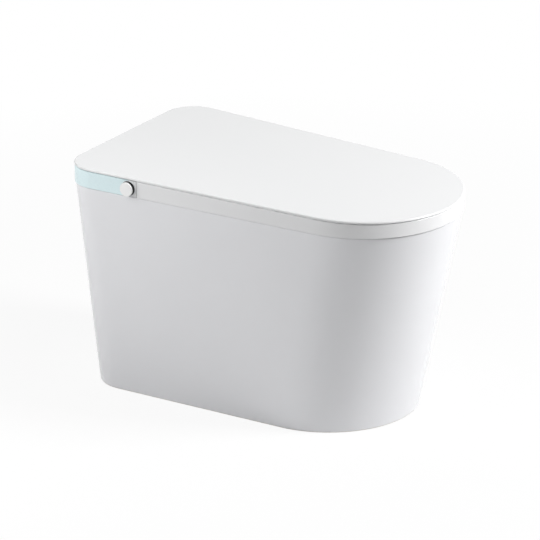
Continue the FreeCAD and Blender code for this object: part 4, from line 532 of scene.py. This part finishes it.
coil = linked(thread_tree, "GeometryNodeCurveSpiral", {
    "Resolution": 64, "Rotations": worked(thread_tree, "DIVIDE", given["Length"], given["Pitch"]),
    "Start Radius": wind, "End Radius": wind, "Height": given["Length"]}).outputs[0]
crest = linked(thread_tree, "GeometryNodeCurvePrimitiveCircle",
               {"Resolution": 8, "Radius": given["Depth"]}).outputs[0]
set_out(thread_tree, given, linked(thread_tree, "GeometryNodeCurveToMesh", {0: coil, 1: crest,
                                                                            "Fill Caps": True}).outputs[0])
nipple_thread = repeated("nipple_thread", thread_tree, [(nipple_axis[0], THREAD_START, nipple_axis[1])],
                         [(0, 1, 0)], brass, {"Radius": THREAD_RADIUS, "Depth": THREAD_DEPTH,
                                              "Length": THREAD_LENGTH, "Pitch": THREAD_PITCH})
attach(nipple_thread, "toilet")
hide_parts("inlet_nipple")
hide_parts("inlet_nipple")
dressed(zinc, "valve_solenoid")
dressed(wash_white, "heater_tank", "tank_cap", "water_pump", "diverter_valve", "flush_spout")
dressed(steel, "heating_element")
dressed(silicone, "supply_hose", "hot_water_hose", "spray_hose")

# Electrics: a green control board of glass fibre on four posts of the rear panel, and a black power box in
# the tub. A ribbed gland of grey rubber in the rear panel is there for the mains lead.
BOARD_PALE = (0.03, 0.16, 0.07)
BOARD_DEEP = (0.02, 0.11, 0.05)
board_green = moulded("board_green", BOARD_PALE, BOARD_DEEP, cloud=150.0, grain=600.0,
                      rough=(0.25, 0.4), ripple=(0.1, 0.0002))
dressed(board_green, "control_board")
dressed(black, "power_box")
GLAND_LIP = 0.003
GLAND_RADIUS, GLAND_GROOVE, GLAND_BORE = 0.009, 0.0074, 0.004
RIB_START, RIB_STEP, RIBS = 0.313, 0.003, 5
LIP_EDGE, RIB_EDGE, GROOVE_EDGE = 0.0006, 0.0004, 0.0003
gland_front, gland_end, gland_axis, lip_radius = round_box("cord_gland", 1)
lip_back = gland_front + GLAND_LIP
gland_corners = [(gland_front, GLAND_BORE, 0), (gland_front, lip_radius, LIP_EDGE),
                 (lip_back, lip_radius, LIP_EDGE), (lip_back, GLAND_RADIUS, 0)]
for rib in range(RIBS):
    groove = RIB_START + rib * RIB_STEP
    groove_end = groove + RIB_STEP / 2
    gland_corners += [(groove, GLAND_RADIUS, RIB_EDGE), (groove, GLAND_GROOVE, GROOVE_EDGE),
                      (groove_end, GLAND_GROOVE, GROOVE_EDGE), (groove_end, GLAND_RADIUS, RIB_EDGE)]
gland_corners += [(gland_end, GLAND_RADIUS, RIB_EDGE), (gland_end, GLAND_BORE, LIP_EDGE)]
gland = turned("lead_gland", eased(gland_corners, steps=3), "y", gland_axis, rubber, "toilet",
               closed=True)
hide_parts("cord_gland")

# Studio: a sheet of white paper that keeps a soft shadow, two soft lamps from the front, two near the side
# and one from behind. What the camera, a gloss or a glass sees of the surround is plain white.
FLOOR_HALF = 8.0
FLOOR_DROP = 0.0005
FLOOR_WHITE = (0.95, 0.95, 0.95, 1)
FLOOR_BOUNCE = (0.8, 0.8, 0.8, 1)
SHADOW_DEPTH = 0.11
SHADOW_NEAR, SHADOW_FAR = 0.5, 1.6
floor_mesh = bpy.data.meshes.new("studio_floor")
floor_corners = [(-FLOOR_HALF, -FLOOR_HALF, 0), (FLOOR_HALF, -FLOOR_HALF, 0), (FLOOR_HALF, FLOOR_HALF, 0),
                 (-FLOOR_HALF, FLOOR_HALF, 0)]
floor_mesh.from_pydata(floor_corners, [], [(0, 1, 2, 3)])
floor = bpy.data.objects.new("studio_floor", floor_mesh)
bpy.context.scene.collection.objects.link(floor)
floor.location.z = -FLOOR_DROP


def seen_directly(tree):
    """1 for what the camera sees, straight or in a gloss or a glass, and 0 for light on its way."""
    ray = linked(tree, "ShaderNodeLightPath").outputs
    seen = worked(tree, "MAXIMUM", ray["Is Camera Ray"], ray["Is Glossy Ray"])
    return worked(tree, "MAXIMUM", seen, ray["Is Transmission Ray"])


paper = bpy.data.materials.new("studio_paper")
paper.use_nodes = True
sheet = paper.node_tree
glow = linked(sheet, "ShaderNodeEmission", {"Color": (1, 1, 1, 1), "Strength": 1.0}).outputs[0]
lit = linked(sheet, "ShaderNodeBsdfDiffuse", {"Color": FLOOR_WHITE}).outputs[0]
bounce = linked(sheet, "ShaderNodeBsdfDiffuse", {"Color": FLOOR_BOUNCE}).outputs[0]
away = linked(sheet, "ShaderNodeVectorMath", {0: linked(sheet, "ShaderNodeTexCoord").outputs["Object"]},
              operation="LENGTH").outputs["Value"]
shade = linked(sheet, "ShaderNodeMapRange", {"Value": away, "From Min": SHADOW_NEAR, "From Max": SHADOW_FAR,
                                             "To Min": SHADOW_DEPTH, "To Max": 0.0}).outputs["Result"]
pale = linked(sheet, "ShaderNodeMixShader", {0: shade, 1: glow, 2: lit}).outputs[0]
whole = linked(sheet, "ShaderNodeMixShader", {0: seen_directly(sheet), 1: bounce, 2: pale}).outputs[0]
sheet.links.new(whole, sheet.nodes["Material Output"].inputs["Surface"])
floor_mesh.materials.append(paper)

MIDDLE = Vector((0, 0, 0.2))


def soft_lamp(name, azimuth, elevation, distance, size, power):
    """A square lamp that faces the object's middle. Azimuth 0 is in front, and 90 on the side of +x."""
    turn = math.radians(azimuth)
    rise = math.radians(elevation)
    way = Vector((math.sin(turn) * math.cos(rise), -math.cos(turn) * math.cos(rise), math.sin(rise)))
    light = bpy.data.lights.new(name, "AREA")
    light.size = size
    light.energy = power
    lamp = bpy.data.objects.new(name, light)
    lamp.location = MIDDLE + way * distance
    lamp.rotation_euler = way.to_track_quat("Z", "Y").to_euler()
    bpy.context.scene.collection.objects.link(lamp)


soft_lamp("low_front_lamp", azimuth=35, elevation=12, distance=3.0, size=0.8, power=6)
soft_lamp("high_front_lamp", azimuth=20, elevation=40, distance=3.0, size=0.8, power=83)
soft_lamp("low_side_lamp", azimuth=-125, elevation=25, distance=1.1, size=1.0, power=3.3)
soft_lamp("high_side_lamp", azimuth=-115, elevation=35, distance=1.7, size=1.6, power=8.8)
soft_lamp("rear_lamp", azimuth=150, elevation=55, distance=1.8, size=1.2, power=6.5)

world = bpy.data.worlds.new("studio_air")
world.use_nodes = True
bpy.context.scene.world = world
air = world.node_tree
backdrop = air.nodes["Background"]
backdrop.inputs["Color"].default_value = (1, 1, 1, 1)
air.links.new(seen_directly(air), backdrop.inputs["Strength"])

# Camera: far off, with a long lens, to the user's right and a little above.
# Its place and its turn are those of the photograph.
EYE = Vector((-6.3709, -4.0754, 3.1393))
RIGHT = Vector((0.5412173, -0.84088277, 0))
UP = Vector((0.30300513, 0.19502316, 0.93282038))
lens = bpy.data.cameras.new("studio_camera")
lens.sensor_width = 36
lens.lens = 309.67
lens.clip_end = 100
camera = bpy.data.objects.new("studio_camera", lens)
camera.matrix_world = Matrix.Translation(EYE) @ Matrix((RIGHT, UP, RIGHT.cross(UP))).transposed().to_4x4()
bpy.context.scene.collection.objects.link(camera)
bpy.context.scene.camera = camera
bpy.context.scene.view_settings.view_transform = "Standard"
